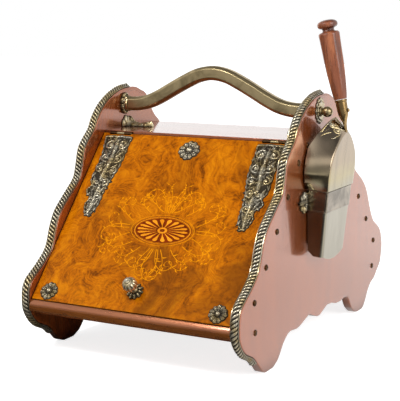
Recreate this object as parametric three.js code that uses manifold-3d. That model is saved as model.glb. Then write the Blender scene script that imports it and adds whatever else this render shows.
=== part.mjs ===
// Walnut coal scuttle with a hinged lid, a bow handle and a shovel in a strap.
// Millimetres. +X is the right side, -Y the front and +Z up. The sides stand on Z = 0.
import * as THREE from 'three';
import { mergeVertices } from 'three/addons/utils/BufferGeometryUtils.js';
import Module from 'manifold-3d';

const wasm = await Module();
wasm.setup();

// ---------- driving dimensions ----------
const GAP = 0.35; // between pieces that touch
const INNER_WIDTH = 324; // between the two sides
const PANEL_T = 13;
const BOARD_T = 12; // top, back and bottom boards
const ROPE_R = 6.5; // half-round rope on the front edges

const PIN_Y = -77; // lid hinge line
const PIN_Z = 307;
const LID_SLOPE = THREE.MathUtils.degToRad(47.96);
const LID_LENGTH = 300;
const LID_T = 10;
const LID_RISE = 0.7; // lid face above the hinge line
const LID_SIDE_GAP = 1;
const LID_END_GAP = 0.6; // each side of the hinge line
const LID_NOSE_GAP = 1.6; // lid end to the front rail

const TOP_BOARD_Z = 311;
const TOP_BOARD_FRONT = -75;
const TOP_BOARD_BACK = 90;
const BOTTOM_BOARD_DROP = 4.1; // below the lid's lower end
const BOTTOM_BOARD_LAP = 1.2; // past the middle of the back board
const BACK_LINE = [[127.6, 239.9], [239.4, 109.7]]; // middle of the back board
const RAIL_NOSE = 4.5; // in front of the lid's lower end
const RAIL_BACK = 4; // behind the lid's underside there
const RAIL_DEPTH = 11; // below it
const BATTEN_W = 16;
const BATTEN_T = 14;
const BATTEN_INSET = 14; // from each end of the lid

const LINER_T = 1.5;
const LINER_SIDE_GAP = 1.5;
const LINER_TOP_GAP = 3; // below the lid
const LINER_SETBACK = 8; // from the front of the bottom board
const LINER_TOP_S = 29; // down the slope from the hinge line
const LINER_BACK_Y = 138;
const LOOP_R = 18;
const LOOP_WIRE_R = 2.2;
const LOOP_LEG = 5;
const LOOP_DROP = 16; // below the liner's mouth

const HINGE_INSET = 30; // from the lid's side
const HINGE_LENGTH = 38;
const KNUCKLE_R = 2.6;
const HINGE_PIN_R = 1.2;
const LEAF_T = 1.5;
const LEAF_H = 8;

const STRAP_RELIEF = 3.2;
const ROSETTE_TOP_R = 17.5;
const ROSETTE_LOW_R = 15;
const ROSETTE_T = 5;
const ROSETTE_TOP_DROP = 25; // below the hinge line
const ROSETTE_LOW_RISE = 15; // above the lid's lower end
const ROSETTE_LOW_INSET = 24; // from the lid's side
const KNOB_RISE = 32; // above the lid's lower end
const KNOB_SHANK_R = 3;
const KNOB_ROSE_R = 13;
const KNOB_R = 11;
const KNOB_REACH = 21; // middle of the knob above the lid

const PIVOT_Y = -18;
const PIVOT_Z = 349;
const BAR_H = 22;
const BAR_D = 18;
const BAR_CHAMFER = 4.2;
const BOW_RISE = 52;
const FLANGE_T = 3.4;
const FLANGE_R = 12.5;
const BOSS_T = 8;
const BOSS_HALF = [12, 17.5];
const STUD_R = 4;
const STUD_CLEAR = 0.4;
const STUD_GRIP = 12; // length inside the bar
const BALL_R = 8;
const BALL_OUT = 13.5; // middle of the ball outside the panel
const PLATE_T = 2.6;
const PLATE_HALF = [17, 20];
const PLATE_Y = -15;
const BRACKET_T = 2;
const BRACKET_PLATE = [-27, 3]; // front and back of the upright plate
const BRACKET_FOOT = [-13, 12];
const BRACKET_REACH = 43;
const BRACKET_H = 19;

const LEAN = THREE.MathUtils.degToRad(5.1); // shovel leans outwards
const SHOVEL_Y = -14.7;
const SHOVEL_Z = 221; // middle of the strap
const STANDOFF = 31.3; // pan face to the panel, at the strap
const SHOVEL_GAP = 2.5; // pan edge to the panel
const SHEET = 1.6;
const PAN_LIP_HALF = 42;
const PAN_TOP_HALF = 47.5;
const PAN_LIP_Z = -83;
const PAN_LIP_BULGE = 8;
const PAN_TOP_Z = 26;
const STRAP_H = 32;
const STRAP_ROOM = 0.6;
const HOOD_CUT = [[2, 79], [24, 119]]; // sloping mouth: beyond the panel, above the strap
const GRIP_LEAN = THREE.MathUtils.degToRad(-12);
const GRIP_AT = [-0.9, 110.4];
const TENON_R = 5.4;
const TENON_LENGTH = 24;
const SOCKET_TOP = 37;
const RIVET_R = 1.5;
const RIVET_AT = 20;
const SCROLL_W = 29;
const SCROLL_T = 5.5;

const INNER = INNER_WIDTH / 2;
const OUTER = INNER + PANEL_T;
const FIT = INNER - GAP; // half length of a board between the sides
const LID_HALF = INNER - LID_SIDE_GAP;
const HINGE_X = LID_HALF - HINGE_INSET;

// Side outline, front foot to top to back foot: [y, z].
const EDGE = [
  [-208, 4], [-227, 23], [-240, 34], [-260, 43], [-273, 55], [-281, 69], [-282, 86], [-280, 101], [-271, 112],
  [-250, 125], [-229, 141], [-220, 153], [-214, 169], [-208, 184], [-199, 198], [-185, 211], [-162, 229],
  [-147, 242], [-141, 256], [-137, 270], [-132, 287], [-120, 300], [-104, 314], [-96, 328], [-82, 344],
  [-62, 358], [-32, 370], [0, 374], [22, 373], [38, 367], [53, 361], [71, 335], [83, 322], [96, 313],
  [113, 293], [133, 266], [136, 256], [146, 242], [176, 225], [196, 209], [207, 194], [213, 183], [224, 164],
  [236, 148], [247, 140], [268, 129], [280, 116], [287, 94], [283, 73], [279, 63], [264, 52], [249, 41],
  [234, 37], [219, 26], [210, 14], [200, 4],
];
const ROPE_FIRST = 1; // the rope runs from this point of EDGE
const ROPE_LAST = 27; // to this one
const REAR_FLAT = [[192, 0], [170, 0]];
const ARCH = [
  [156, 3], [138, 15], [127, 30], [114, 39], [80, 36], [37, 44.3], [2, 34.6], [-15, 37], [-35, 44],
  [-44, 45], [-80, 36], [-94, 36], [-117, 37.5], [-137, 26], [-146, 16], [-156, 6.5],
];
const FRONT_FLAT = [[-172, 0], [-197, 0]];

// ---------- solids ----------
const AXIS_X = new THREE.Vector3(1, 0, 0);
const AXIS_Y = new THREE.Vector3(0, 1, 0);
const AXIS_Z = new THREE.Vector3(0, 0, 1);
const points = (list) => list.map(([a, b]) => new THREE.Vector2(a, b));

function asSolid(geometry) {
  const bare = new THREE.BufferGeometry();
  bare.setAttribute('position', geometry.attributes.position.clone());
  if (geometry.index) {
    bare.setIndex(geometry.index.clone());
  }
  const merged = mergeVertices(bare, 1e-4);
  return new wasm.Manifold(new wasm.Mesh({
    numProp: 3,
    vertProperties: new Float32Array(merged.attributes.position.array),
    triVerts: new Uint32Array(merged.index.array),
  }));
}

function asGeometry(body) {
  const mesh = body.getMesh();
  const indexed = new THREE.BufferGeometry();
  indexed.setAttribute('position', new THREE.BufferAttribute(mesh.vertProperties, 3));
  indexed.setIndex(new THREE.BufferAttribute(mesh.triVerts, 1));
  const geometry = indexed.toNonIndexed();
  geometry.computeVertexNormals();
  return geometry;
}

function combine(geometries, join) {
  return asGeometry(geometries.map(asSolid).reduce(join));
}
const cut = (...geometries) => combine(geometries, (a, b) => a.subtract(b));
const union = (...geometries) => combine(geometries, (a, b) => a.add(b));
const common = (...geometries) => combine(geometries, (a, b) => a.intersect(b));

// An outline in the plane across `along`, carried from `start` to `end`.
function extrude(outline, along, start, end) {
  const shape = outline instanceof THREE.Shape ? outline : new THREE.Shape(points(outline));
  const geometry = new THREE.ExtrudeGeometry(shape, { depth: end - start, bevelEnabled: false });
  const place = new THREE.Matrix4();
  if (along === 'x') {
    place.makeBasis(AXIS_Y, AXIS_Z, AXIS_X).setPosition(start, 0, 0);
  } else if (along === 'y') {
    place.makeBasis(AXIS_X, AXIS_Z, AXIS_Y.clone().negate()).setPosition(0, end, 0);
  } else {
    place.makeTranslation(0, 0, start);
  }
  return geometry.applyMatrix4(place);
}

function block(x, y, z) {
  const [[x0, x1], [y0, y1], [z0, z1]] = [x, y, z];
  const geometry = new THREE.BoxGeometry(x1 - x0, y1 - y0, z1 - z0);
  return geometry.translate((x0 + x1) / 2, (y0 + y1) / 2, (z0 + z1) / 2);
}

// A rod along X.
function rod(radius, start, end, y = 0, z = 0, sides = 24) {
  const geometry = new THREE.CylinderGeometry(radius, radius, end - start, sides);
  return geometry.rotateZ(-Math.PI / 2).translate((start + end) / 2, y, z);
}

// A turned piece about Z: the profile is [radius, height], from the axis to the axis.
function turned(profile, sides = 24) {
  return new THREE.LatheGeometry(points(profile), sides).rotateX(Math.PI / 2);
}

function smooth(list, closed, count) {
  const curve = new THREE.CatmullRomCurve3(list.map(([a, b]) => new THREE.Vector3(a, b, 0)), closed);
  return curve.getPoints(count).slice(0, closed ? count : count + 1).map((p) => [p.x, p.y]);
}

// A section [side, out] carried along a path in a plane; `side` is the plane's normal.
function carry(section, path, side) {
  const place = [];
  path.forEach((point, i) => {
    const before = path[Math.max(i - 1, 0)];
    const after = path[Math.min(i + 1, path.length - 1)];
    const ahead = after.clone().sub(before).normalize();
    const out = side.clone().cross(ahead).normalize();
    for (const [a, b] of section) {
      place.push(point.clone().addScaledVector(side, a).addScaledVector(out, b));
    }
  });
  const n = section.length;
  const faces = [];
  for (let i = 0; i + 1 < path.length; i += 1) {
    for (let j = 0; j < n; j += 1) {
      const [a, b] = [i * n + j, i * n + (j + 1) % n];
      faces.push(a, b, a + n, b, b + n, a + n);
    }
  }
  const last = (path.length - 1) * n;
  for (let j = 1; j + 1 < n; j += 1) {
    faces.push(0, j + 1, j, last, last + j, last + j + 1);
  }
  return facingOut(place, faces);
}

// A body between two outlines with as many points each.
function between(lower, upper) {
  const n = lower.length;
  const flat = THREE.ShapeUtils.triangulateShape(lower.map((p) => new THREE.Vector2(p.y, p.z)), []);
  const faces = [];
  for (let j = 0; j < n; j += 1) {
    const k = (j + 1) % n;
    faces.push(j, k, j + n, k, k + n, j + n);
  }
  for (const [a, b, c] of flat) {
    faces.push(a, c, b, a + n, b + n, c + n);
  }
  return facingOut([...lower, ...upper], faces);
}

function facingOut(place, faces) {
  let volume = 0;
  for (let i = 0; i < faces.length; i += 3) {
    const [a, b, c] = [place[faces[i]], place[faces[i + 1]], place[faces[i + 2]]];
    volume += a.dot(b.clone().cross(c));
  }
  const geometry = new THREE.BufferGeometry().setFromPoints(place);
  geometry.setIndex(volume < 0 ? [...faces].reverse() : faces);
  return asGeometry(asSolid(geometry));
}

// ---------- finishes ----------
const FINISH = {
  walnut: [0x7a3a12, 0.3, 0],
  burr: [0xc9761a, 0.28, 0],
  mount: [0x8a7a55, 0.42, 1],
  brass: [0xa48a58, 0.3, 1],
  strap: [0x6d6150, 0.35, 1],
  pan: [0xb5a98a, 0.25, 1],
  rosewood: [0x4a1e10, 0.4, 0],
  steel: [0x2a2724, 0.6, 0.8],
};

const scuttle = new THREE.Group();
const lidFrame = new THREE.Group();
const shovelFrame = new THREE.Group();
const gripFrame = new THREE.Group();
scuttle.add(lidFrame, shovelFrame);
shovelFrame.add(gripFrame);
lidFrame.position.set(0, PIN_Y, PIN_Z);
lidFrame.rotation.x = LID_SLOPE; // its +Y runs up the lid and its +Z out of it
shovelFrame.position.set(OUTER + STANDOFF, SHOVEL_Y, SHOVEL_Z);
shovelFrame.rotation.y = LEAN; // its +Z runs up the pan and its +X out of it
gripFrame.position.set(GRIP_AT[0], 0, GRIP_AT[1]);
gripFrame.rotation.y = GRIP_LEAN - LEAN;

function add(name, geometry, finish, frame = scuttle) {
  const [color, roughness, metalness] = FINISH[finish];
  const mesh = new THREE.Mesh(geometry, new THREE.MeshStandardMaterial({ color, roughness, metalness }));
  mesh.name = name;
  frame.add(mesh);
  return mesh;
}

const SIDES = [['left', -1], ['right', 1]];
const span = (side, near, far) => (side > 0 ? [near, far] : [-far, -near]);

// A point on the lid's frame, s down the slope and n out of it, as [y, z] of the scuttle.
function onSlope(s, n) {
  const [c, k] = [Math.cos(LID_SLOPE), Math.sin(LID_SLOPE)];
  return [PIN_Y - s * c - n * k, PIN_Z - s * k + n * c];
}

// The other way round: how far down the slope and out of it a point [y, z] is.
function toSlope([y, z]) {
  const [c, k] = [Math.cos(LID_SLOPE), Math.sin(LID_SLOPE)];
  return [(PIN_Y - y) * c + (PIN_Z - z) * k, (PIN_Y - y) * k - (PIN_Z - z) * c];
}

const LID_END = LID_LENGTH + LID_NOSE_GAP;
const RAIL_TOP = onSlope(LID_END, LID_RISE);
const RAIL_UNDER = onSlope(LID_END, LID_RISE - LID_T - 1);
const BOTTOM_BOARD_FRONT = RAIL_UNDER[0] + RAIL_BACK + GAP;
const BOTTOM_BOARD_Z = RAIL_UNDER[1] - BOTTOM_BOARD_DROP;
const BACK_SLOPE = (BACK_LINE[1][0] - BACK_LINE[0][0]) / (BACK_LINE[1][1] - BACK_LINE[0][1]);
const backMiddle = (z) => BACK_LINE[0][0] + (z - BACK_LINE[0][1]) * BACK_SLOPE;
const BOTTOM_BOARD_BACK = backMiddle(BOTTOM_BOARD_Z) + BOTTOM_BOARD_LAP;

// ---------- carcase ----------
const edgeCurve = new THREE.SplineCurve(points(EDGE));
const edgeAt = (i) => edgeCurve.getPoint(i / (EDGE.length - 1));

function makeSides() {
  const outline = [...FRONT_FLAT.map(([y, z]) => new THREE.Vector2(y, z))];
  for (let i = 0; i <= EDGE.length - 1; i += 0.5) {
    outline.push(edgeAt(i));
  }
  outline.push(...points(REAR_FLAT), ...new THREE.SplineCurve(points(ARCH)).getPoints(2 * ARCH.length));
  for (const [side, sign] of SIDES) {
    const [start, end] = span(sign, INNER, OUTER);
    const stud = rod(STUD_R + STUD_CLEAR, start - 1, end + 1, PIVOT_Y, PIVOT_Z);
    add(`side_panel_${side}`, cut(extrude(new THREE.Shape(outline), 'x', start, end), stud), 'walnut');
  }
}

function makeRopes() {
  const arc = [0, 1, 2, 3, 4, 5, 6].map((i) => Math.PI * i / 6);
  const section = arc.map((t) => [ROPE_R * Math.cos(t), GAP + ROPE_R * Math.sin(t)]);
  for (const [side, sign] of SIDES) {
    const path = [];
    for (let i = ROPE_FIRST; i <= ROPE_LAST; i += 0.5) {
      const p = edgeAt(i);
      path.push(new THREE.Vector3(sign * (INNER + PANEL_T / 2), p.x, p.y));
    }
    add(`rope_moulding_${side}`, carry(section, path, AXIS_X), 'mount');
  }
}

function hingeRoom(reach) {
  const rooms = SIDES.map(([, sign]) => {
    const [start, end] = span(sign, HINGE_X - HINGE_LENGTH / 2 - GAP, HINGE_X + HINGE_LENGTH / 2 + GAP);
    const leaf = block([start, end], reach, [-LEAF_H - 2 * GAP, LID_RISE + 4]);
    return union(rod(KNUCKLE_R + 0.6, start, end, 0, 0), leaf);
  });
  return rooms;
}
const leafReach = GAP + LEAF_T + GAP;

function toScuttle(geometry) {
  lidFrame.updateMatrixWorld(true);
  return geometry.clone().applyMatrix4(lidFrame.matrixWorld);
}

function makeBoards() {
  const bevel = (z) => PIN_Y + (LID_END_GAP - (z - PIN_Z) * Math.sin(LID_SLOPE)) / Math.cos(LID_SLOPE);
  const low = TOP_BOARD_Z - BOARD_T;
  const noseZ = PIN_Z + (LID_END_GAP - (TOP_BOARD_FRONT - PIN_Y) * Math.cos(LID_SLOPE)) / Math.sin(LID_SLOPE);
  const top = [
    [TOP_BOARD_FRONT, TOP_BOARD_Z], [TOP_BOARD_FRONT, noseZ], [bevel(low), low],
    [TOP_BOARD_BACK, low], [TOP_BOARD_BACK, TOP_BOARD_Z],
  ];
  const room = hingeRoom([-1, leafReach]).map(toScuttle);
  add('top_board', cut(extrude(top.reverse(), 'x', -FIT, FIT), ...room), 'walnut');

  add('bottom_board', block([-FIT, FIT], [BOTTOM_BOARD_FRONT, BOTTOM_BOARD_BACK],
    [BOTTOM_BOARD_Z - BOARD_T, BOTTOM_BOARD_Z]), 'walnut');

  const half = BOARD_T / 2 * Math.hypot(1, BACK_SLOPE);
  const [zTop, zLow] = [low - GAP, BOTTOM_BOARD_Z + GAP];
  const back = [
    [backMiddle(zLow) - half, zLow], [backMiddle(zLow) + half, zLow], [backMiddle(zTop) + half, zTop],
    [backMiddle(zTop) - half, zTop],
  ];
  add('back_board', extrude(back, 'x', -FIT, FIT), 'walnut');

  const railFront = RAIL_TOP[0] - RAIL_NOSE;
  const railBack = BOTTOM_BOARD_FRONT - GAP;
  const railLow = RAIL_UNDER[1] - RAIL_DEPTH;
  const rail = [
    [railBack, railLow], [railFront + 8, railLow], [railFront + 3.4, railLow + 1.6],
    [railFront + 0.8, railLow + 4.6], [railFront, railLow + 8.6], [railFront + 0.4, railLow + 12.6],
    [railFront + 2, railLow + 16], RAIL_TOP, RAIL_UNDER, [railBack, RAIL_UNDER[1]],
  ];
  add('front_rail', extrude(rail.reverse(), 'x', -FIT, FIT), 'walnut');

  const n = LID_RISE - LID_T - GAP;
  const [high, last] = [BATTEN_INSET, LID_LENGTH - BATTEN_INSET];
  const batten = [
    onSlope(last, n), onSlope(last, n - BATTEN_T), onSlope(high, n - BATTEN_T), onSlope(high, n),
  ];
  for (const [side, sign] of SIDES) {
    const [start, stop] = span(sign, FIT - BATTEN_W, FIT);
    add(`lid_batten_${side}`, extrude(batten, 'x', start, stop), 'walnut');
  }
}

function makeLiner() {
  const n = LID_RISE - LID_T - LINER_TOP_GAP;
  const floor = BOTTOM_BOARD_Z + GAP;
  const front = BOTTOM_BOARD_FRONT + LINER_SETBACK;
  const [mouthY, mouthZ] = onSlope(0, n);
  const lip = [front, mouthZ + (front - mouthY) * Math.tan(LID_SLOPE)];
  const shell = (inset) => [
    [front + inset, floor + inset],
    [LINER_BACK_Y - inset * 2.6, floor + inset],
    onSlope(LINER_TOP_S + inset, n + (inset ? 9 : 0)),
    inset ? [lip[0] + inset, lip[1] + 30] : lip,
  ];
  const wide = FIT - BATTEN_W - LINER_SIDE_GAP;
  const outer = extrude(shell(0), 'x', -wide, wide);
  const inner = extrude(shell(LINER_T), 'x', -wide + LINER_T, wide - LINER_T);
  add('coal_liner', cut(outer, inner), 'steel');

  const arc = [0, 1, 2, 3, 4, 5, 6, 7, 8, 9, 10].map((i) => Math.PI * i / 10);
  const ring = [0, 1, 2, 3, 4, 5].map((i) => Math.PI * i / 3);
  const section = ring.map((t) => [LOOP_WIRE_R * Math.cos(t), LOOP_WIRE_R * Math.sin(t)]);
  const [[s0, n0], [s1, n1]] = [toSlope(shell(LINER_T)[1]), toSlope(shell(LINER_T)[2])];
  const wall = -s0 - (s1 - s0) * (n - LOOP_DROP - LOOP_WIRE_R - n0) / (n1 - n0) - GAP;
  const foot = (x, y) => new THREE.Vector3(x, y, n - LOOP_DROP);
  const round = arc.map((t) => foot(LOOP_R * Math.cos(t), wall - LOOP_LEG - LOOP_R * Math.sin(t)));
  const leg = (x) => [foot(x, wall), foot(x, wall - 1)];
  const loop = [...leg(LOOP_R), ...round, ...leg(-LOOP_R).reverse()];
  add('liner_handle', carry(section, loop, AXIS_Z), 'steel', lidFrame);
}

// ---------- lid ----------
// A strap mount's outline: [from the lid's side, below the hinge line].
const STRAP_OUTLINE = [
  [54, -20], [54, -60], [48, -90], [45, -110], [43, -142], [30, -156], [21, -137], [25, -124],
  [13, -112], [18, -100], [12, -88], [12, -44], [7, -14], [11, -8.5], [49, -8.5],
];

function makeLid() {
  const board = block([-LID_HALF, LID_HALF], [-LID_LENGTH, -LID_END_GAP], [LID_RISE - LID_T, LID_RISE]);
  add('lid', cut(board, ...hingeRoom([-leafReach, 1])), 'burr', lidFrame);

  const face = LID_RISE + GAP;
  const outline = smooth(STRAP_OUTLINE, true, 45);
  for (const [side, sign] of SIDES) {
    const own = outline.map(([inset, y]) => [sign * (LID_HALF - inset), y]);
    add(`lid_strap_${side}`, extrude(own, 'z', face, face + STRAP_RELIEF), 'mount', lidFrame);
  }

  const rosette = (r) => turned([
    [0, 0], [r - 1, 0], [r, 1.2], [r * 0.75, 3], [r * 0.4, 3.4], [0, ROSETTE_T],
  ]);
  add('rosette_top', rosette(ROSETTE_TOP_R), 'mount', lidFrame).position.set(-1, -ROSETTE_TOP_DROP, face);
  for (const [side, sign] of SIDES) {
    const low = add(`rosette_lower_${side}`, rosette(ROSETTE_LOW_R), 'mount', lidFrame);
    low.position.set(sign * (LID_HALF - ROSETTE_LOW_INSET), ROSETTE_LOW_RISE - LID_LENGTH, face);
  }

  const shank = KNOB_SHANK_R;
  const bore = shank + GAP;
  const rose = [[bore, 0], [KNOB_ROSE_R - 1, 0], [KNOB_ROSE_R, 2], [9, 4.4], [bore, 5], [bore, 0]];
  add('knob_rose', turned(rose), 'mount', lidFrame).position.set(1.5, KNOB_RISE - LID_LENGTH, face);
  const knob = [
    [0, 0.2], [shank, 0.2], [shank, 5.3], [6, 5.6], [4.6, 8.6], [6.5, KNOB_REACH - 9.4],
    [KNOB_R - 1.2, KNOB_REACH - 5], [KNOB_R, KNOB_REACH - 1], [KNOB_R - 1, KNOB_REACH + 3],
    [6.4, KNOB_REACH + 6.6], [0, KNOB_REACH + 8],
  ];
  add('lid_knob', turned(knob), 'mount', lidFrame).position.set(1.5, KNOB_RISE - LID_LENGTH, face);
}

function makeHinges() {
  const step = (HINGE_LENGTH - 2 * GAP) / 3;
  for (const [side, sign] of SIDES) {
    const [start, end] = span(sign, HINGE_X - HINGE_LENGTH / 2, HINGE_X + HINGE_LENGTH / 2);
    const bore = () => rod(HINGE_PIN_R + GAP, start - 1, end + 1, 0, 0, 16);
    const middle = [start + step + GAP, end - step - GAP];
    const leaf = (near, far) => block([start, end], [near, far], [-LEAF_H, -KNUCKLE_R * 0.4]);
    const room = (a, b) => rod(KNUCKLE_R + GAP, a, b);
    const lidLeaf = cut(leaf(-GAP - LEAF_T, -GAP), room(start - 1, middle[0]), room(middle[1], end + 1));
    const boardLeaf = cut(leaf(GAP, GAP + LEAF_T), room(middle[0] - GAP, middle[1] + GAP));
    add(`hinge_lid_leaf_${side}`, cut(union(lidLeaf, rod(KNUCKLE_R, ...middle)), bore()), 'brass', lidFrame);
    const ends = [rod(KNUCKLE_R, start, start + step), rod(KNUCKLE_R, end - step, end)];
    add(`hinge_board_leaf_${side}`, cut(union(boardLeaf, ...ends), bore()), 'brass', lidFrame);
    add(`hinge_pin_${side}`, rod(HINGE_PIN_R, start, end, 0, 0, 16), 'steel', lidFrame);
  }
}

// ---------- handle ----------
function makeHandle() {
  const barEnd = INNER - GAP - BOSS_T - GAP - FLANGE_T - GAP;
  const half = [
    [0, 1], [0.16, 0.925], [0.308, 0.74], [0.468, 0.5], [0.615, 0.27], [0.749, 0.1], [0.883, 0.015], [1, 0],
  ]; // shares of the bar's half length and of its rise
  const bow = [...half.slice(1).reverse().map(([x, k]) => [-x, k]), ...half];
  const path = smooth(bow.map(([x, k]) => [x * barEnd, k * BOW_RISE]), false, 44)
    .map(([x, z]) => new THREE.Vector3(x, PIVOT_Y, PIVOT_Z + z));
  const [h, d] = [BAR_H / 2, BAR_D / 2];
  const section = [
    [d, h - BAR_CHAMFER], [d - BAR_CHAMFER, h], [BAR_CHAMFER - d, h], [-d, h - BAR_CHAMFER],
    [-d, BAR_CHAMFER - h], [BAR_CHAMFER - d, -h], [d - BAR_CHAMFER, -h], [d, BAR_CHAMFER - h],
  ];
  const bores = SIDES.map(([, sign]) => rod(STUD_R + GAP, ...span(sign, barEnd - STUD_GRIP, barEnd + 1),
    PIVOT_Y, PIVOT_Z));
  add('handle_bar', cut(carry(section, path, AXIS_Y), ...bores), 'brass');

  const oval = ([a, b], grow = 1) => {
    const shape = new THREE.Shape();
    return shape.absellipse(0, 0, a * grow, b * grow, 0, 2 * Math.PI);
  };
  for (const [side, sign] of SIDES) {
    const hole = rod(STUD_R + STUD_CLEAR, ...span(sign, barEnd - 1, OUTER + 40), PIVOT_Y, PIVOT_Z);
    const flange = rod(FLANGE_R, ...span(sign, barEnd + GAP, barEnd + GAP + FLANGE_T), 0, 0, 8)
      .rotateX(Math.PI / 8).translate(0, PIVOT_Y, PIVOT_Z);
    add(`handle_flange_${side}`, cut(flange, hole), 'brass');

    const boss = extrude(oval(BOSS_HALF), 'x', ...span(sign, INNER - GAP - BOSS_T, INNER - GAP));
    add(`handle_boss_${side}`, cut(boss.translate(0, PIVOT_Y, PIVOT_Z), hole), 'mount');

    const plate = extrude(oval(PLATE_HALF), 'x', ...span(sign, OUTER + GAP, OUTER + GAP + PLATE_T));
    add(`handle_back_plate_${side}`, cut(plate.translate(0, PLATE_Y, PIVOT_Z + 1), hole), 'mount');

    const stud = rod(STUD_R, ...span(sign, barEnd - STUD_GRIP + GAP, OUTER + BALL_OUT), PIVOT_Y, PIVOT_Z);
    const collarStart = OUTER + GAP + PLATE_T + GAP;
    const collar = rod(STUD_R + 2, ...span(sign, collarStart, OUTER + BALL_OUT), PIVOT_Y, PIVOT_Z);
    const ball = new THREE.SphereGeometry(BALL_R, 20, 12);
    ball.translate(sign * (OUTER + BALL_OUT), PIVOT_Y, PIVOT_Z);
    const ballOnly = cut(ball, rod(2 * BALL_R, ...span(sign, INNER, collarStart), PIVOT_Y, PIVOT_Z));
    add(`handle_nut_${side}`, union(stud, collar, ballOnly), 'brass');

    const low = TOP_BOARD_Z + GAP;
    const foot = [
      [0, 0], [BRACKET_REACH, 0], [BRACKET_REACH + 1, 5], [BRACKET_REACH - 4, 9], [BRACKET_REACH - 12, 7],
      [20, 5], [9, 8], [3, 16], [0, 16],
    ].map(([x, z]) => [sign * (FIT - x), low + z]);
    const upright = block(span(sign, FIT - BRACKET_T, FIT), BRACKET_PLATE, [low, low + BRACKET_H]);
    add(`handle_bracket_${side}`, union(extrude(foot, 'y', ...BRACKET_FOOT), upright), 'mount');
  }
}

// ---------- shovel and its strap ----------
const panelSideX = (z, gap) => (gap - STANDOFF - z * Math.sin(LEAN)) / Math.cos(LEAN);

// Half width of the pan at height z, and its outline as seen from the side of the scuttle.
const panHalf = (z) => PAN_LIP_HALF
  + (PAN_TOP_HALF - PAN_LIP_HALF) * (z - PAN_LIP_Z) / (PAN_TOP_Z - PAN_LIP_Z);

function panFront(inset, low, high) {
  const bulge = [-1, -0.7, -0.35, 0, 0.35, 0.7, 1].map((k) => [
    k * (panHalf(PAN_LIP_Z) - inset), low - PAN_LIP_BULGE * (1 - k * k),
  ]);
  return [...bulge, [panHalf(high) - inset, high], [inset - panHalf(high), high]];
}

function makePan() {
  const side = [
    [0, -95], [-5.5, -90], [-11, -87.5], [-16, -84.5], [-19.6, -80.5], [panelSideX(-76, SHOVEL_GAP), -76],
    [panelSideX(PAN_TOP_Z, SHOVEL_GAP), PAN_TOP_Z], [0, PAN_TOP_Z],
  ];
  const body = common(
    extrude(side.reverse(), 'y', -60, 60),
    extrude(panFront(0, PAN_LIP_Z, PAN_TOP_Z), 'x', -60, 5),
  );
  const hollow = extrude(panFront(SHEET, -110, PAN_TOP_Z + 5), 'x', -60, -SHEET);
  add('shovel_pan', cut(body, hollow), 'pan', shovelFrame);
}

// The hood's two outlines, [half width, height]: at the pan's face and, wider, beside the panel.
const HOOD_FACE = [[50, 17], [51, 31], [51.5, 43], [49, 58], [41, 72], [26, 87], [13, 95.5], [0, 99]];
const HOOD_EDGE = [[50, 17], [58.5, 28], [61, 42], [57.5, 57], [50, 72], [37, 100], [22, 123], [0, 135]];

// The body between the two outlines, grown by `grow`; `reach` carries it past the panel's side.
function hoodBody(grow, front, low, reach = 1) {
  const ring = (half, xAt) => {
    const wide = half.map(([w, z], i) => {
      const [w0, z0] = half[Math.max(i - 1, 0)];
      const [w1, z1] = half[Math.min(i + 1, half.length - 1)];
      const size = Math.hypot(w1 - w0, z1 - z0);
      if (i === half.length - 1) {
        return [0, z + grow];
      }
      return [w + grow * (z1 - z0) / size, i === 0 ? low : z + grow * (w0 - w1) / size];
    });
    const mirror = wide.slice(0, -1).reverse().map(([w, z]) => [-w, z]);
    return [...wide, ...mirror].map(([w, z]) => new THREE.Vector3(xAt(z), w, z));
  };
  const face = ring(HOOD_FACE, () => front);
  const edge = ring(HOOD_EDGE, (z) => panelSideX(z, SHOVEL_GAP));
  return between(face, edge.map((point, i) => face[i].clone().lerp(point, reach)));
}

function makeHood() {
  const rim = STRAP_H / 2 + GAP;
  const face = GAP + SHEET;
  const [[x0, z0], [x1, z1]] = HOOD_CUT;
  const reach = 3;
  const far = [x0 - reach * (x1 - x0), z0 - reach * (z1 - z0)];
  const high = [x0 + reach * (x1 - x0), z0 + reach * (z1 - z0)];
  const mouth = extrude([far, high, [far[0] - 200, high[1]], [far[0] - 200, far[1]]], 'y', -90, 90)
    .translate(-STANDOFF, 0, 0).rotateY(-LEAN);
  const hollow = hoodBody(-SHEET, GAP, rim - 10, 1.3);
  add('shovel_hood', cut(hoodBody(0, face, rim), hollow, mouth), 'pan', shovelFrame);
}

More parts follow.
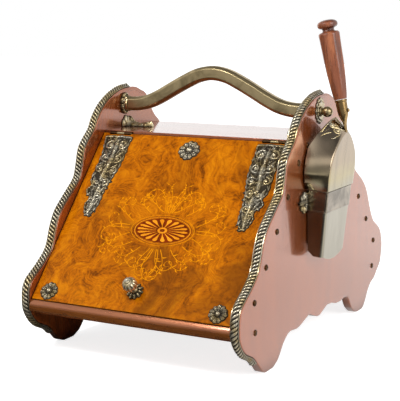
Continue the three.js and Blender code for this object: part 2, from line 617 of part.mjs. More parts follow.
function makeShovelHandle() {
  const bottom = SOCKET_TOP - TENON_LENGTH;
  const bore = TENON_R + GAP;
  const socket = turned([
    [0, -12], [3, -12], [3.6, -4], [4.8, 0], [6.7, 9], [8.1, 21],
    [8.4, SOCKET_TOP - 3], [9.2, SOCKET_TOP - 2],
    [9.2, SOCKET_TOP], [bore, SOCKET_TOP], [bore, bottom], [0, bottom],
  ]);
  const rivetHole = rod(RIVET_R + GAP, -20, 20, 0, RIVET_AT, 12);
  gripFrame.updateMatrixWorld(true);
  const toGrip = gripFrame.matrix.clone().invert();
  const hood = hoodBody(GAP, GAP * 2 + SHEET, 20).applyMatrix4(toGrip);
  add('shovel_socket', cut(socket, hood, rivetHole), 'brass', gripFrame);

  const wood = SOCKET_TOP + GAP;
  const gripTop = 137;
  const finialBore = 3.4;
  const grip = turned([
    [0, bottom + GAP], [TENON_R, bottom + GAP], [TENON_R, wood], [9.4, wood], [9.8, wood + 3], [11.6, 51],
    [13.4, 70], [14.5, 86], [15.1, 110], [15.8, 131], [15.2, gripTop - 1], [12, gripTop],
    [finialBore + GAP, gripTop], [finialBore + GAP, gripTop - 12], [0, gripTop - 12],
  ], 16);
  add('shovel_grip', cut(grip, rivetHole), 'rosewood', gripFrame);

  const finial = [
    [0, gripTop - 12 + GAP], [finialBore, gripTop - 12 + GAP], [finialBore, gripTop + GAP],
    [9.6, gripTop + GAP],
    [8.6, gripTop + 3], [10.5, gripTop + 5.5], [14.6, gripTop + 7.5], [15.2, gripTop + 11],
    [13.4, gripTop + 14.5], [7, gripTop + 17.2], [0, gripTop + 18],
  ];
  add('shovel_finial', turned(finial), 'rosewood', gripFrame);

  const head = turned([[0, 0], [2.9, 0], [2.4, 1.6], [0, 2.3]], 12).rotateY(Math.PI / 2);
  const shank = rod(RIVET_R, -7.6, 8.6, 0, RIVET_AT, 12);
  add('shovel_rivet', union(shank, head.translate(8.1 + GAP, 0, RIVET_AT)), 'brass', gripFrame);
}

function makeStrap() {
  const low = -STRAP_H / 2;
  const half = panHalf(-low) + STRAP_ROOM;
  const outer = block([-60, STRAP_ROOM + SHEET], [-half - SHEET, half + SHEET], [low, -low]);
  const inner = block([-70, STRAP_ROOM], [-half, half], [low - 1, 1 - low]);
  const panel = block([-100, GAP], [-90, 90], [-90, 90]).translate(-STANDOFF, 0, 0).rotateY(-LEAN);
  add('shovel_strap', cut(outer, inner, panel), 'strap', shovelFrame);

  const near = half + SHEET + GAP;
  const scroll = smooth([
    [near, 13], [near + 6, 15], [near + 13, 9], [near + 20, 12], [near + SCROLL_W, 1], [near + 22, -10],
    [near + 14, -9], [near + 7, -16], [near, -13],
  ], false, 24);
  for (const [end, sign] of [['front', -1], ['back', 1]]) {
    const own = scroll.map(([y, z]) => [sign * y + SHOVEL_Y, z + SHOVEL_Z]);
    add(`strap_scroll_${end}`, extrude(own, 'x', OUTER + GAP, OUTER + GAP + SCROLL_T), 'mount');
  }
}

makeSides();
makeRopes();
makeBoards();
makeLiner();
makeLid();
makeHinges();
makeHandle();
makePan();
makeHood();
makeShovelHandle();
makeStrap();

// The origin is below the middle of the whole, on the surface that the sides stand on.
scuttle.updateMatrixWorld(true);
const whole = new THREE.Box3().setFromObject(scuttle);
const middle = whole.getCenter(new THREE.Vector3());
scuttle.position.set(-middle.x, -middle.y, -whole.min.z);

export default scuttle;
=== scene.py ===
# %% [markdown]
# # A walnut coal scuttle
# A box for coal stands between two shaped walnut sides. Its sloping lid is veneered with golden burr
# walnut and inlaid with an oval fan and scrolling leaves. Cast brass mounts, a bowed brass handle and a
# brass shovel in a strap complete it. Every new piece below is a surface computed with numpy, laid in the
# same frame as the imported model, so nothing has to be fitted afterwards.

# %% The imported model
import math

import bpy
import numpy as np
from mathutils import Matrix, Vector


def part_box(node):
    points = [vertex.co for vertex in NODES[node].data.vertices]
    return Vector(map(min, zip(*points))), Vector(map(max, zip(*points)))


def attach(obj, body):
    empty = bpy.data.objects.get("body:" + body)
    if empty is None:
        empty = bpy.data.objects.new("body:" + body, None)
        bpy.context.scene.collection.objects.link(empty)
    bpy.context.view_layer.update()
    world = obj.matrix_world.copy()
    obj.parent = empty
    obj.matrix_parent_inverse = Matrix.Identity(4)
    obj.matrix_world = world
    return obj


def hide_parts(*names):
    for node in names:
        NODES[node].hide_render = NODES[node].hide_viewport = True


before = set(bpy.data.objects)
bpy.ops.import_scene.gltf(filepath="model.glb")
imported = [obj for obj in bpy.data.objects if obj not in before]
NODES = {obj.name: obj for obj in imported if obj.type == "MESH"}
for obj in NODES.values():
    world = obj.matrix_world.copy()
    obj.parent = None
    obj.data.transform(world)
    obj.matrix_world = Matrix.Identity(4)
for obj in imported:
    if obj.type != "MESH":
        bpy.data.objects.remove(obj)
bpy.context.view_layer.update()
print("packed nodes:", len(NODES))

# %% [markdown]
# ## One set of millimetres
# Sizes read more easily in millimetres from the middle of the scuttle, with the floor at zero. The middle
# plane is halfway between the sides, and the hinge pins are 77 mm in front of the handle's zero line, so
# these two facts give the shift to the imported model's metres.

# %% Where the zero point lies
MM = 0.001
SIDES = (("left", -1), ("right", 1))
SIDE_THICK = 13.0
GAP = 0.35
PIN = (-77.0, 307.0)
SIDE_LOW, SIDE_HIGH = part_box("side_panel_left")[0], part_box("side_panel_right")[1]
PIN_LOW, PIN_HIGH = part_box("hinge_pin_right")
ORIGIN = np.array([(SIDE_LOW[0] + SIDE_HIGH[0]) / 2, (PIN_LOW[1] + PIN_HIGH[1]) / 2 - PIN[0] * MM, 0.0])
OUTER = (SIDE_HIGH[0] - SIDE_LOW[0]) / 2 / MM
INNER = OUTER - SIDE_THICK
SLOPE = math.radians(47.96)
LEAN = math.radians(5.1)
GRIP_LEAN = math.radians(-17.1)
LID_FACE = 0.7
LID_HALF = INNER - 1
PIVOT = (-18.0, 349.0)
STAND_OFF = 31.3
SHOVEL = (OUTER + STAND_OFF, -14.7, 221.0)
GRIP_AT = (-0.9, 110.4)
print("half width in mm:", round(OUTER, 2), "zero point:", ORIGIN.round(4))


# %% [markdown]
# ## Frames of the parts
# The lid, the shovel and its grip each lean, so a piece on them is drawn in its own upright frame and then
# turned. Each function takes whole arrays of coordinates and returns points in metres.

# %% From each part's own frame to the row's
def stack(x, y, z):
    """Points from three arrays that broadcast together."""
    return np.stack(np.broadcast_arrays(x, y, z), -1).astype(float)


def to_row(points):
    """Metres in the row's frame: zero point plus millimetres over a thousand."""
    return np.asarray(points, float) * MM + ORIGIN


def on_lid(across, down, out):
    """Lid: y = pin - down cos - out sin, and z = pin - down sin + out cos."""
    c, s = math.cos(SLOPE), math.sin(SLOPE)
    return to_row(stack(across, PIN[0] - down * c - out * s, PIN[1] - down * s + out * c))


def on_shovel(out, along, up):
    """Shovel: turned by the lean about y, then moved to the strap's middle."""
    c, s = math.cos(LEAN), math.sin(LEAN)
    return to_row(stack(out * c + up * s + SHOVEL[0], along + SHOVEL[1], up * c - out * s + SHOVEL[2]))


def on_grip(out, along, up):
    """Grip: turned by its own lean inside the shovel's frame."""
    c, s = math.cos(GRIP_LEAN), math.sin(GRIP_LEAN)
    return on_shovel(out * c + up * s + GRIP_AT[0], along, up * c - out * s + GRIP_AT[1])


def along_x(out, across, up, sign, start, middle):
    """A piece whose axis runs out along x from `start`, on the side `sign`, about `middle` (y, z)."""
    return to_row(stack(sign * (start + out), middle[0] + across, middle[1] + up))


# %% [markdown]
# ## Surfaces
# A surface is a grid of points: rows along it and columns across or around it. Closed skins get a fan at
# each end, and sheets get a second layer one thickness in and a rim.

# %% Grids, skins and sheets
def circle(count):
    """The angles of one full turn, without the repeat at its end."""
    return np.linspace(0, 2 * np.pi, count, endpoint=False)


def fade(value, start, width):
    """0 up to `start`, 1 from one `width` further on, and even between; a negative width turns it round."""
    return np.clip((value - start) / width, 0, 1)


def through(points, count, closed=False):
    """A smooth curve through points: on each span the cubic with the mean of both neighbours' slopes."""
    p = np.asarray(points, float)
    n = len(p)
    t = np.linspace(0, n if closed else n - 1, count, endpoint=not closed)
    i = np.minimum(t.astype(int), n - 1 if closed else n - 2)
    u = (t - i)[:, None]
    a, b, c, d = (p[(i + k) % n] if closed else p[np.clip(i + k, 0, n - 1)] for k in (-1, 0, 1, 2))
    second, third = 2 * a - 5 * b + 4 * c - d, 3 * b - a - 3 * c + d
    return 0.5 * (2 * b + (c - a) * u + second * u**2 + third * u**3)


def quads(rows, cols, around=False):
    """Corners of every quad of a grid; `around` joins the last column to the first."""
    i = np.arange(rows - 1)[:, None] * cols
    j = np.arange(cols if around else cols - 1)[None, :]
    k = (j + 1) % cols
    return np.stack([i + j, i + k, i + k + cols, i + j + cols], -1).reshape(-1, 4)


def skin(rings):
    """A closed skin from rings of points, with a fan to the middle of each end ring."""
    rows, cols = rings.shape[:2]
    points = np.concatenate([rings.reshape(-1, 3), rings[:1].mean(1), rings[-1:].mean(1)])
    a = np.arange(cols)
    b, end, last = (a + 1) % cols, rows * cols, (rows - 1) * cols
    first_fan = np.stack([b, a, np.full(cols, end)], -1)
    last_fan = np.stack([a + last, b + last, np.full(cols, end + 1)], -1)
    return points, [quads(rows, cols, True), first_fan, last_fan]


def normals(grid):
    """Unit normals of a grid: the cross product of its two directions."""
    n = np.cross(np.gradient(grid, axis=1), np.gradient(grid, axis=0))
    return n / np.maximum(np.linalg.norm(n, axis=-1, keepdims=True), 1e-12)


def sheet(grid, thickness):
    """A metal sheet: the grid, the same grid one thickness behind it, and the rim between them."""
    rows, cols = grid.shape[:2]
    points = np.concatenate([grid.reshape(-1, 3), (grid - normals(grid) * thickness * MM).reshape(-1, 3)])
    face, count = quads(rows, cols), rows * cols
    index = np.arange(count).reshape(rows, cols)
    rim = np.concatenate([index[0], index[1:, -1], index[-1, -2::-1], index[-2:0:-1, 0]])
    after = np.roll(rim, -1)
    return points, [face, face[:, ::-1] + count, np.stack([rim, rim + count, after + count, after], -1)]


def facing_out(points, faces):
    """The same faces, turned if the volume they close is negative."""
    fans = [f[:, [0, k, k + 1]] for f in faces for k in range(1, f.shape[1] - 1)]
    a, b, c = (points[np.concatenate(fans)[:, k]] - points.mean(0) for k in range(3))
    return faces if (a * np.cross(b, c)).sum() > 0 else [f[:, ::-1] for f in faces]


MATERIALS = {}
MADE = []


def piece(name, points, faces, body, slot, nodes=(), finish=None, sharp=38, relief=None):
    """A named object at the origin: it rides on `body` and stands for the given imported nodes."""
    mesh = bpy.data.meshes.new(name)
    mesh.from_pydata(points.tolist(), [], sum((f.tolist() for f in faces), []))
    mesh.shade_smooth()
    mesh.set_sharp_from_angle(angle=math.radians(sharp))
    # The relief share, from 0 to 1, is read by the cast brass material as painted light: shade where it is low,
    # a highlight where it is high.
    if relief is not None:
        mesh.attributes.new("relief", "FLOAT", "POINT").data.foreach_set("value", relief.astype(np.float32))
    obj = bpy.data.objects.new(name, mesh)
    bpy.context.scene.collection.objects.link(obj)
    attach(obj, body)
    if nodes:
        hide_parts(*nodes)
    MADE.append((obj, finish or slot))
    return obj


def closed_piece(name, surface, body, slot, node_name, finish=None, sharp=38, relief=None):
    """A piece from a closed surface, with its faces turned outward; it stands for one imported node."""
    points, faces = surface
    return piece(name, points, facing_out(points, faces), body, slot, [node_name], finish, sharp, relief)


def tell(*pieces):
    """Prints how many faces each new piece has."""
    for obj in pieces:
        print(obj.name, len(obj.data.polygons), "faces")


# %% [markdown]
# ## Cast relief
# The mounts were cast from carved patterns of leaves and scrolls. Here a pattern is a set of strokes: a
# row of round bosses whose radius and height change along a curve. The highest boss wins at each point.
# Where no stroke reaches, the casting is open, unless a thin plate lies behind the leaves.

# %% Strokes and castings
def spiral(x, y, size, start, turns, wide, high, count=46):
    """A volute: the radius shrinks from `size` to nothing while the angle turns from `start`."""
    t = np.linspace(0, 1, count)
    angle = start + 2 * np.pi * turns * t
    reach = size * (1 - t) ** 0.85
    width = wide * (1 - 0.45 * t) + 0.9 * wide * np.exp(-((1 - t) / 0.06) ** 2)
    top = high * (0.75 + 0.25 * t)
    return np.stack([x + reach * np.cos(angle), y + reach * np.sin(angle), width, top], -1)


def leaf(x, y, toward, length, wide, high, bend=0.0, lobes=4, count=34):
    """An acanthus leaf: its width swells as a sine and is notched by lobes, with a raised midrib."""
    t = np.linspace(0, 1, count)
    angle = toward + bend * t
    step = length / count
    px = x + np.cumsum(np.cos(angle)) * step
    py = y + np.cumsum(np.sin(angle)) * step
    lobe = np.cos(2 * np.pi * lobes * t)
    width = wide * np.sin(np.pi * (0.12 + 0.86 * t)) ** 0.8 * (0.76 + 0.24 * lobe)
    blade = np.stack([px, py, width, high * (0.55 + 0.15 * lobe)], -1)
    rib = np.stack([px, py, np.full(count, 0.24 * wide), np.full(count, high)], -1)
    return np.concatenate([blade, rib])


def line(points, wide, high, beads=0, count=160, closed=False):
    """A moulded line through points, with `beads` swellings along it."""
    p = through(points, count, closed)
    t = np.linspace(0, 1, count)
    swell = 0.72 + 0.28 * np.cos(2 * np.pi * beads * t)
    return np.stack([p[:, 0], p[:, 1], wide * swell, high * (0.8 + 0.2 * swell)], -1)


def height_of(x, y, strokes):
    """Height of the relief: over each boss h * sqrt(1 - (distance / radius)^2), and the highest wins."""
    top = np.zeros(x.shape, np.float32)
    for lot in np.array_split(np.concatenate(strokes).astype(np.float32), 24):
        d2 = (x[..., None] - lot[:, 0]) ** 2 + (y[..., None] - lot[:, 1]) ** 2
        top = np.maximum(top, (lot[:, 3] * np.sqrt(np.clip(1 - d2 / lot[:, 2] ** 2, 0, 1))).max(-1))
    return top


def cast_faces(high):
    """The points and quads of a relief, without quads whose corners all lie below a fifth of a millimetre."""
    faces = quads(*high.shape)
    used, faces = np.unique(faces[high.ravel()[faces].max(1) > 0.2], return_inverse=True)
    return used, [faces.reshape(-1, 4)]


def casting(name, x, y, high, place, body, node_name):
    """A casting of the given heights, with faint veins across its leaves."""
    veins = 0.16 * np.sin(2.1 * x + 1.3 * y) * np.sin(1.7 * y - 0.9 * x) * (high > 0.8)
    out = np.maximum(high + veins, 0)
    used, faces = cast_faces(high)
    # The relief share is the height over the highest, so tops get a painted highlight and hollows painted
    # shade.
    return piece(name, place(x, y, out).reshape(-1, 3)[used], faces, body, "cast_mounts", [node_name],
                 sharp=75, relief=(out / out.max()).ravel()[used])


def turned(profile, cols=64, flutes=0, depth=0.0, count=0):
    """Rings about an upright axis: radius and height along the profile, cut by `flutes` shallow flutes."""
    p = through(profile, count) if count else np.asarray(profile, float)
    angle = circle(cols)
    cut = 1 - depth * (0.5 - 0.5 * np.cos(flutes * angle)) if flutes else np.ones(cols)
    radius = np.maximum(p[:, :1], 1e-3) * cut
    return radius * np.cos(angle), radius * np.sin(angle), np.broadcast_to(p[:, 1:], radius.shape)


# %% [markdown]
# ## Node helpers
# A few short functions keep the material cells readable: one adds a node with its inputs, and the others
# mix colours, do arithmetic and lay out a colour ramp. Colours are given as eye values from 0 to 255.

# %% Shader helpers
def feed(tree, socket, value):
    """Gives a socket a constant, or a link from another node's output."""
    if isinstance(value, bpy.types.NodeSocket):
        tree.links.new(value, socket)
    else:
        socket.default_value = value


def node(tree, kind, inputs=None, **settings):
    """A node with its settings; each input gets a constant or another node's output."""
    n = tree.nodes.new(kind)
    for key, value in settings.items():
        setattr(n, key, value)
    for key, value in (inputs or {}).items():
        feed(tree, n.inputs[key], value)
    return n


def colour(r, g, b):
    """Linear colour from eye values: ((c + 0.055) / 1.055) to the power 2.4."""
    c = np.array([r, g, b]) / 255
    c = np.where(c < 0.04045, c / 12.92, ((c + 0.055) / 1.055) ** 2.4)
    return (float(c[0]), float(c[1]), float(c[2]), 1.0)


def mix(tree, amount, a, b, how="MIX"):
    """The colour between a and b."""
    return node(tree, "ShaderNodeMix", {0: amount, 6: a, 7: b}, data_type="RGBA", blend_type=how).outputs[2]


def calc(tree, how, a, b=0.0, c=0.0):
    """One arithmetic step."""
    return node(tree, "ShaderNodeMath", {0: a, 1: b, 2: c}, operation=how).outputs[0]


def times(tree, a, b):
    """The product of two values."""
    return calc(tree, "MULTIPLY", a, b)


def vector(tree, how, a, b=(0.0, 0.0, 0.0), result=0):
    """One step of vector arithmetic; `result` names the output that is wanted."""
    return node(tree, "ShaderNodeVectorMath", {0: a, 1: b}, operation=how).outputs[result]


def cover(tree, tone, mask, share, paint):
    """The tone with `paint` laid over it by the mask, at most by `share`."""
    return mix(tree, times(tree, mask, share), tone, paint)


def axes(tree, arrow):
    """The X, Y and Z of a vector."""
    return node(tree, "ShaderNodeSeparateXYZ", {0: arrow}).outputs


def on_object(tree):
    """The object's own coordinates, in metres."""
    return node(tree, "ShaderNodeTexCoord").outputs["Object"]


def between(tree, value, low, high, to_low=0.0, to_high=1.0):
    """The value's place between low and high, eased and kept within the ends."""
    inputs = {"Value": value, 1: low, 2: high, 3: to_low, 4: to_high}
    return node(tree, "ShaderNodeMapRange", inputs, interpolation_type="SMOOTHSTEP").outputs[0]


def ramp(tree, value, stops):
    """A colour ramp from (place, colour) pairs."""
    n = node(tree, "ShaderNodeValToRGB", {"Fac": value})
    elements = n.color_ramp.elements
    for k, (place, tone) in enumerate(stops):
        element = elements[k] if k < 2 else elements.new(place)
        element.position = place
        element.color = tone
    return n.outputs["Color"]


def stretched(tree, vector, scale):
    """The coordinates multiplied by a scale in each direction."""
    return node(tree, "ShaderNodeMapping", {"Vector": vector, "Scale": scale}).outputs[0]


def noise(tree, vector, scale, detail=4.0, rough=0.55, warp=0.0):
    """Fractal noise from 0 to 1."""
    inputs = {"Vector": vector, "Scale": scale, "Detail": detail, "Roughness": rough, "Distortion": warp}
    return node(tree, "ShaderNodeTexNoise", inputs).outputs["Fac"]


def group(name, inputs, outputs):
    """An empty node group with the given sockets, as its tree and both ends' sockets."""
    tree = bpy.data.node_groups.new(name, "ShaderNodeTree")
    for label, kind, value in inputs:
        socket = tree.interface.new_socket(label, in_out="INPUT", socket_type=kind)
        if value is not None:
            socket.default_value = value
    for label, kind in outputs:
        tree.interface.new_socket(label, in_out="OUTPUT", socket_type=kind)
    return tree, tree.nodes.new("NodeGroupInput").outputs, tree.nodes.new("NodeGroupOutput").inputs


def give(tree, made, **results):
    """Links a group's results to its outputs of the same names."""
    for label, result in results.items():
        tree.links.new(result, made[label])
    print("group made:", tree.name)


def use(tree, name, inputs=None):
    """A placed copy of a node group."""
    return node(tree, "ShaderNodeGroup", inputs, node_tree=bpy.data.node_groups[name]).outputs


VALUE, ARROW = "NodeSocketFloat", "NodeSocketVector"

# %% [markdown]
# ## Effects that several materials share
# Straight walnut grain is noise drawn out along the board. Burr figure is noise that warps itself into
# swirls, with small dark eyes. Worn edges are found where a rounded normal leaves the true one. Tarnish
# lies in large soft patches, and where the surroundings are close a mask gives painted shade, with some
# dirt in the brass's hollows. Dust lies on what faces up.

# %% Straight grain
tree, given, made = group("straight grain", [("Vector", ARROW, None)],
                          [("Figure", VALUE), ("Pores", VALUE), ("Bands", VALUE)])
wander = noise(tree, given["Vector"], 5.0, 2.0)
shifted = vector(tree, "ADD", given["Vector"], vector(tree, "MULTIPLY", wander, (0.05, 0.05, 0.0)))
figure = noise(tree, stretched(tree, shifted, (1.0, 1.0, 0.09)), 46.0, 6.0, 0.62, 0.6)
bands = noise(tree, stretched(tree, shifted, (1.0, 1.0, 0.2)), 13.0, 2.0, 0.5, 1.2)
pores = noise(tree, stretched(tree, shifted, (1.0, 1.0, 0.035)), 620.0, 2.0, 0.5)
give(tree, made, Figure=figure, Pores=between(tree, pores, 0.56, 0.7), Bands=bands)

# %% Burr figure
tree, given, made = group("burr figure", [("Vector", ARROW, None)],
                          [("Swirl", VALUE), ("Eyes", VALUE), ("Blotch", VALUE)])
warp = node(tree, "ShaderNodeTexNoise", {"Vector": given["Vector"], "Scale": 11.0, "Detail": 3.0}).outputs
push = vector(tree, "ADD", vector(tree, "MULTIPLY", warp["Color"], (0.075, 0.075, 0.075)), given["Vector"])
swirl = noise(tree, stretched(tree, push, (1.0, 0.75, 0.75)), 34.0, 8.0, 0.66, 1.1)
cells = node(tree, "ShaderNodeTexVoronoi", {"Vector": push, "Scale": 62.0}).outputs["Distance"]
crimp = noise(tree, push, 120.0, 5.0, 0.7, 2.4)
rings = calc(tree, "SINE", times(tree, noise(tree, push, 9.0, 2.0, 0.5, 0.5), 210.0))
lined = calc(tree, "MULTIPLY_ADD", rings, 0.045, swirl)
swirl = calc(tree, "MULTIPLY_ADD", calc(tree, "SUBTRACT", crimp, 0.5), 0.55, lined)
give(tree, made, Swirl=swirl, Eyes=between(tree, cells, 0.05, 0.17, 1.0, 0.0),
     Blotch=noise(tree, push, 7.5, 3.0, 0.55, 0.8))

# %% Worn edges
tree, given, made = group("worn edges", [("Radius", VALUE, 0.0012)], [("Edge", VALUE), ("Normal", ARROW)])
rounded = node(tree, "ShaderNodeBevel", {"Radius": given["Radius"]}, samples=6).outputs[0]
alike = vector(tree, "DOT_PRODUCT", rounded, node(tree, "ShaderNodeNewGeometry").outputs["Normal"], "Value")
patchy = noise(tree, on_object(tree), 90.0, 3.0)
edge = between(tree, calc(tree, "SUBTRACT", 1.0, alike), 0.01, 0.16)
give(tree, made, Edge=times(tree, edge, between(tree, patchy, 0.3, 0.62)), Normal=rounded)

# %% Tarnish and painted shade
tree, given, made = group("tarnish_and_shade", [("Reach", VALUE, 0.004)],
                          [("Grime", VALUE), ("Patina", VALUE), ("Fine", VALUE)])
where = on_object(tree)
# The first output is painted shade: a mask that is high where other surfaces lie within the reach.
open_sky = node(tree, "ShaderNodeAmbientOcclusion", {"Distance": given["Reach"]}, samples=6).outputs["AO"]
give(tree, made, Grime=between(tree, open_sky, 0.25, 0.92, 1.0, 0.0),
     Patina=noise(tree, where, 24.0, 5.0, 0.6, 0.7), Fine=noise(tree, where, 420.0, 3.0))

# %% Dust
tree, given, made = group("dust", [], [("Dust", VALUE)])
up = axes(tree, node(tree, "ShaderNodeNewGeometry").outputs["Normal"])["Z"]
specks = noise(tree, on_object(tree), 260.0, 4.0, 0.7)
give(tree, made, Dust=times(tree, between(tree, up, 0.5, 1.0), between(tree, specks, 0.4, 0.75, 0.15, 1.0)))


# %% [markdown]
# ## Materials
# Each material is one shader at the end of a few mixing steps. The walnut and the burr carry a clear coat
# for the shellac polish. Brass is a metal whose colour drops to brown where it is tarnished and in painted
# shade in its hollows, and rises to pale yellow where hands and cloths reach.

# %% A material's ends
def start(name):
    """A fresh material: its tree, its shader and its object coordinates."""
    material = bpy.data.materials.new(name)
    material.use_nodes = True
    MATERIALS[name] = material
    tree = material.node_tree
    return tree, tree.nodes["Principled BSDF"], on_object(tree)


def plug(tree, shader, **values):
    """Sets the shader's inputs; an underscore in a name stands for a space."""
    for key, value in values.items():
        feed(tree, shader.inputs[key.replace("_", " ")], value)


def bump(tree, height, strength, depth, **normal):
    """A bumped normal from a height between 0 and 1, on top of a given Normal if there is one."""
    inputs = {"Height": height, "Strength": strength, "Distance": depth, **normal}
    return node(tree, "ShaderNodeBump", inputs).outputs[0]


# %% Walnut
def make_walnut(name, turn, dark, middle, light):
    """Polished walnut; `turn` lays the grain along the board."""
    tree, shader, where = start(name)
    laid = node(tree, "ShaderNodeMapping", {"Vector": where, "Rotation": turn}).outputs[0]
    figure, pores, bands = use(tree, "straight grain", {"Vector": laid})
    edge, normal = use(tree, "worn edges", {"Radius": 0.0016})
    dust = use(tree, "dust")[0]
    tone = ramp(tree, figure, [(0.28, dark), (0.72, light), (0.5, middle)])
    tone = mix(tree, between(tree, bands, 0.35, 0.65, 0.0, 0.45), tone, mix(tree, 0.5, dark, middle))
    tone = cover(tree, tone, pores, 0.45, colour(50, 23, 13))
    tone = cover(tree, tone, edge, 0.35, colour(220, 131, 62))
    # Painted shade: within 45 mm of other surfaces the walnut darkens to a near black brown, as in the corners
    # above the lid.
    shade_and_grime = use(tree, "tarnish_and_shade", {"Reach": 0.045})[0]
    tone = cover(tree, tone, shade_and_grime, 0.85, colour(33, 18, 11))
    tone = cover(tree, tone, dust, 0.05, colour(237, 220, 200))
    plug(tree, shader, Base_Color=tone, Roughness=between(tree, figure, 0.2, 0.8, 0.17, 0.26), IOR=1.9,
         Specular_IOR_Level=1.0, Specular_Tint=colour(255, 166, 124), Coat_Weight=1.0, Coat_Roughness=0.07,
         Coat_IOR=1.38, Normal=bump(tree, pores, 0.25, 0.0003, Normal=normal))


UPRIGHT, ACROSS = (0.0, 0.0, 0.0), (0.0, math.pi / 2, 0.0)
RED_BROWN = (colour(99, 45, 18), colour(131, 64, 24), colour(156, 80, 33))
make_walnut("walnut", UPRIGHT, *RED_BROWN)
make_walnut("walnut_across", ACROSS, *RED_BROWN)
make_walnut("walnut_rail", ACROSS, colour(82, 43, 13), colour(112, 61, 18), colour(134, 78, 25))
print("walnut materials:", list(MATERIALS))

# %% Burr walnut and the inlay woods
tree, shader, where = start("burr_walnut")
swirl, eyes, blotch = use(tree, "burr figure", {"Vector": where})
edge, normal = use(tree, "worn edges", {"Radius": 0.0012})
place = axes(tree, where)
# The lid is made darker towards its lower right corner, added to the blotches.
toward_corner = calc(tree, "MULTIPLY_ADD", place["X"], 0.5, times(tree, place["Z"], -0.7))
blotch = calc(tree, "ADD", blotch, between(tree, toward_corner, -0.17, 0.0, -0.03, 0.12))
tone = ramp(tree, swirl, [(0.3, colour(110, 52, 0)), (0.7, colour(212, 126, 3)), (0.5, colour(184, 98, 0))])
tone = mix(tree, between(tree, blotch, 0.5, 0.68, 0.0, 0.75), tone, colour(107, 53, 3))
tone = mix(tree, between(tree, blotch, 0.3, 0.46, 0.4, 0.0), tone, colour(225, 138, 5))
tone = cover(tree, tone, eyes, 0.3, colour(131, 62, 16))
tone = cover(tree, tone, edge, 0.4, colour(188, 107, 33))
UNDER_SHELLAC = {"Specular_IOR_Level": 0.2, "Specular_Tint": colour(255, 190, 90)}
plug(tree, shader, Base_Color=tone, Roughness=between(tree, swirl, 0.2, 0.8, 0.34, 0.44), **UNDER_SHELLAC,
     Coat_Weight=0.16, Coat_Roughness=0.11, Coat_IOR=1.5,
     Normal=bump(tree, swirl, 0.15, 0.0002, Normal=normal))


def make_inlay(name, dark, light):
    """Marquetry veneer under the same polish as the lid."""
    tree, shader, where = start(name)
    figure, pores, _ = use(tree, "straight grain", {"Vector": where})
    tone = mix(tree, between(tree, figure, 0.3, 0.7), dark, light)
    plug(tree, shader, Base_Color=tone, Roughness=0.4, **UNDER_SHELLAC, Coat_Weight=0.1, Coat_Roughness=0.1,
         Normal=bump(tree, pores, 0.1, 0.0002))


make_inlay("inlay_dark", colour(94, 28, 0), colour(136, 45, 0))
make_inlay("inlay_light", colour(220, 131, 16), colour(252, 163, 35))
make_inlay("inlay_line", colour(213, 129, 0), colour(237, 149, 3))
print("lid materials made")


# %% Brass in its several states
def make_brass(name, shade_and_tarnish, plain, bright, rough, shade_share=0.9, scratch=0.0):
    """Brass: painted shade and some dirt in the hollows, patina in patches and bright metal on the edges."""
    tree, shader, where = start(name)
    shade_and_grime, patina, fine = use(tree, "tarnish_and_shade", {"Reach": 0.005})
    edge, normal = use(tree, "worn edges", {"Radius": 0.0009})
    dust = use(tree, "dust")[0]
    tone = mix(tree, between(tree, patina, 0.36, 0.66), plain, mix(tree, 0.55, plain, shade_and_tarnish))
    # Painted shade with some dirt: darker in the hollows, where other surfaces lie close.
    tone = cover(tree, tone, shade_and_grime, shade_share, shade_and_tarnish)
    tone = cover(tree, tone, edge, 0.7, bright)
    tone = cover(tree, tone, dust, 0.06, colour(170, 160, 140))
    worn = between(tree, patina, 0.3, 0.7, rough, rough + 0.14)
    lines = noise(tree, stretched(tree, where, (1.0, 1.0, 0.03)), 900.0, 2.0)
    height = mix(tree, scratch, fine, lines)
    worn = calc(tree, "ADD", worn, times(tree, shade_and_grime, 0.22))
    plug(tree, shader, Base_Color=tone, Metallic=1.0, Roughness=worn,
         Normal=bump(tree, height, 0.14, 0.0002, Normal=normal))


make_brass("handle_brass", colour(84, 72, 46), colour(192, 172, 130), colour(222, 204, 162), 0.3)
make_brass("strap_brass", colour(44, 35, 26), colour(152, 141, 124), colour(214, 202, 172), 0.1, scratch=0.4)
make_brass("socket_brass", colour(60, 42, 20), colour(160, 132, 88), colour(214, 188, 136), 0.24)
make_brass("screw_brass", colour(30, 20, 12), colour(92, 66, 42), colour(170, 138, 98), 0.3)
print("plain brass made")

# %% Cast brass, with painted shade in its hollows and painted highlights on its tops
tree, shader, where = start("cast_mounts")
shade_and_grime, patina, fine = use(tree, "tarnish_and_shade", {"Reach": 0.003})
high = node(tree, "ShaderNodeAttribute", attribute_name="relief").outputs["Fac"]
# The relief attribute is turned into painted light: low points and places near other surfaces get painted
# shade, high points a painted highlight.
low_relief_shade = between(tree, high, 0.26, 0.74, 1.0, 0.0)
painted_hollow_shade = calc(tree, "MAXIMUM", low_relief_shade, shade_and_grime)
gilt = noise(tree, where, 34.0, 3.0, 0.6, 0.8)
tone = mix(tree, between(tree, gilt, 0.42, 0.6), colour(188, 180, 160), colour(190, 168, 120))
tone = mix(tree, between(tree, patina, 0.45, 0.7, 0.0, 0.6), tone, colour(132, 118, 92))
# Painted highlight on the highest points.
tone = mix(tree, between(tree, high, 0.66, 1.0, 0.0, 0.8), tone, colour(252, 240, 206))
# Painted shade in the hollows.
tone = cover(tree, tone, painted_hollow_shade, 0.92, colour(38, 29, 19))
plug(tree, shader, Base_Color=tone, Metallic=0.85, Roughness=between(tree, painted_hollow_shade, 0.0, 1.0, 0.27, 0.6),
     Normal=bump(tree, fine, 0.3, 0.0004))
print("cast brass made")

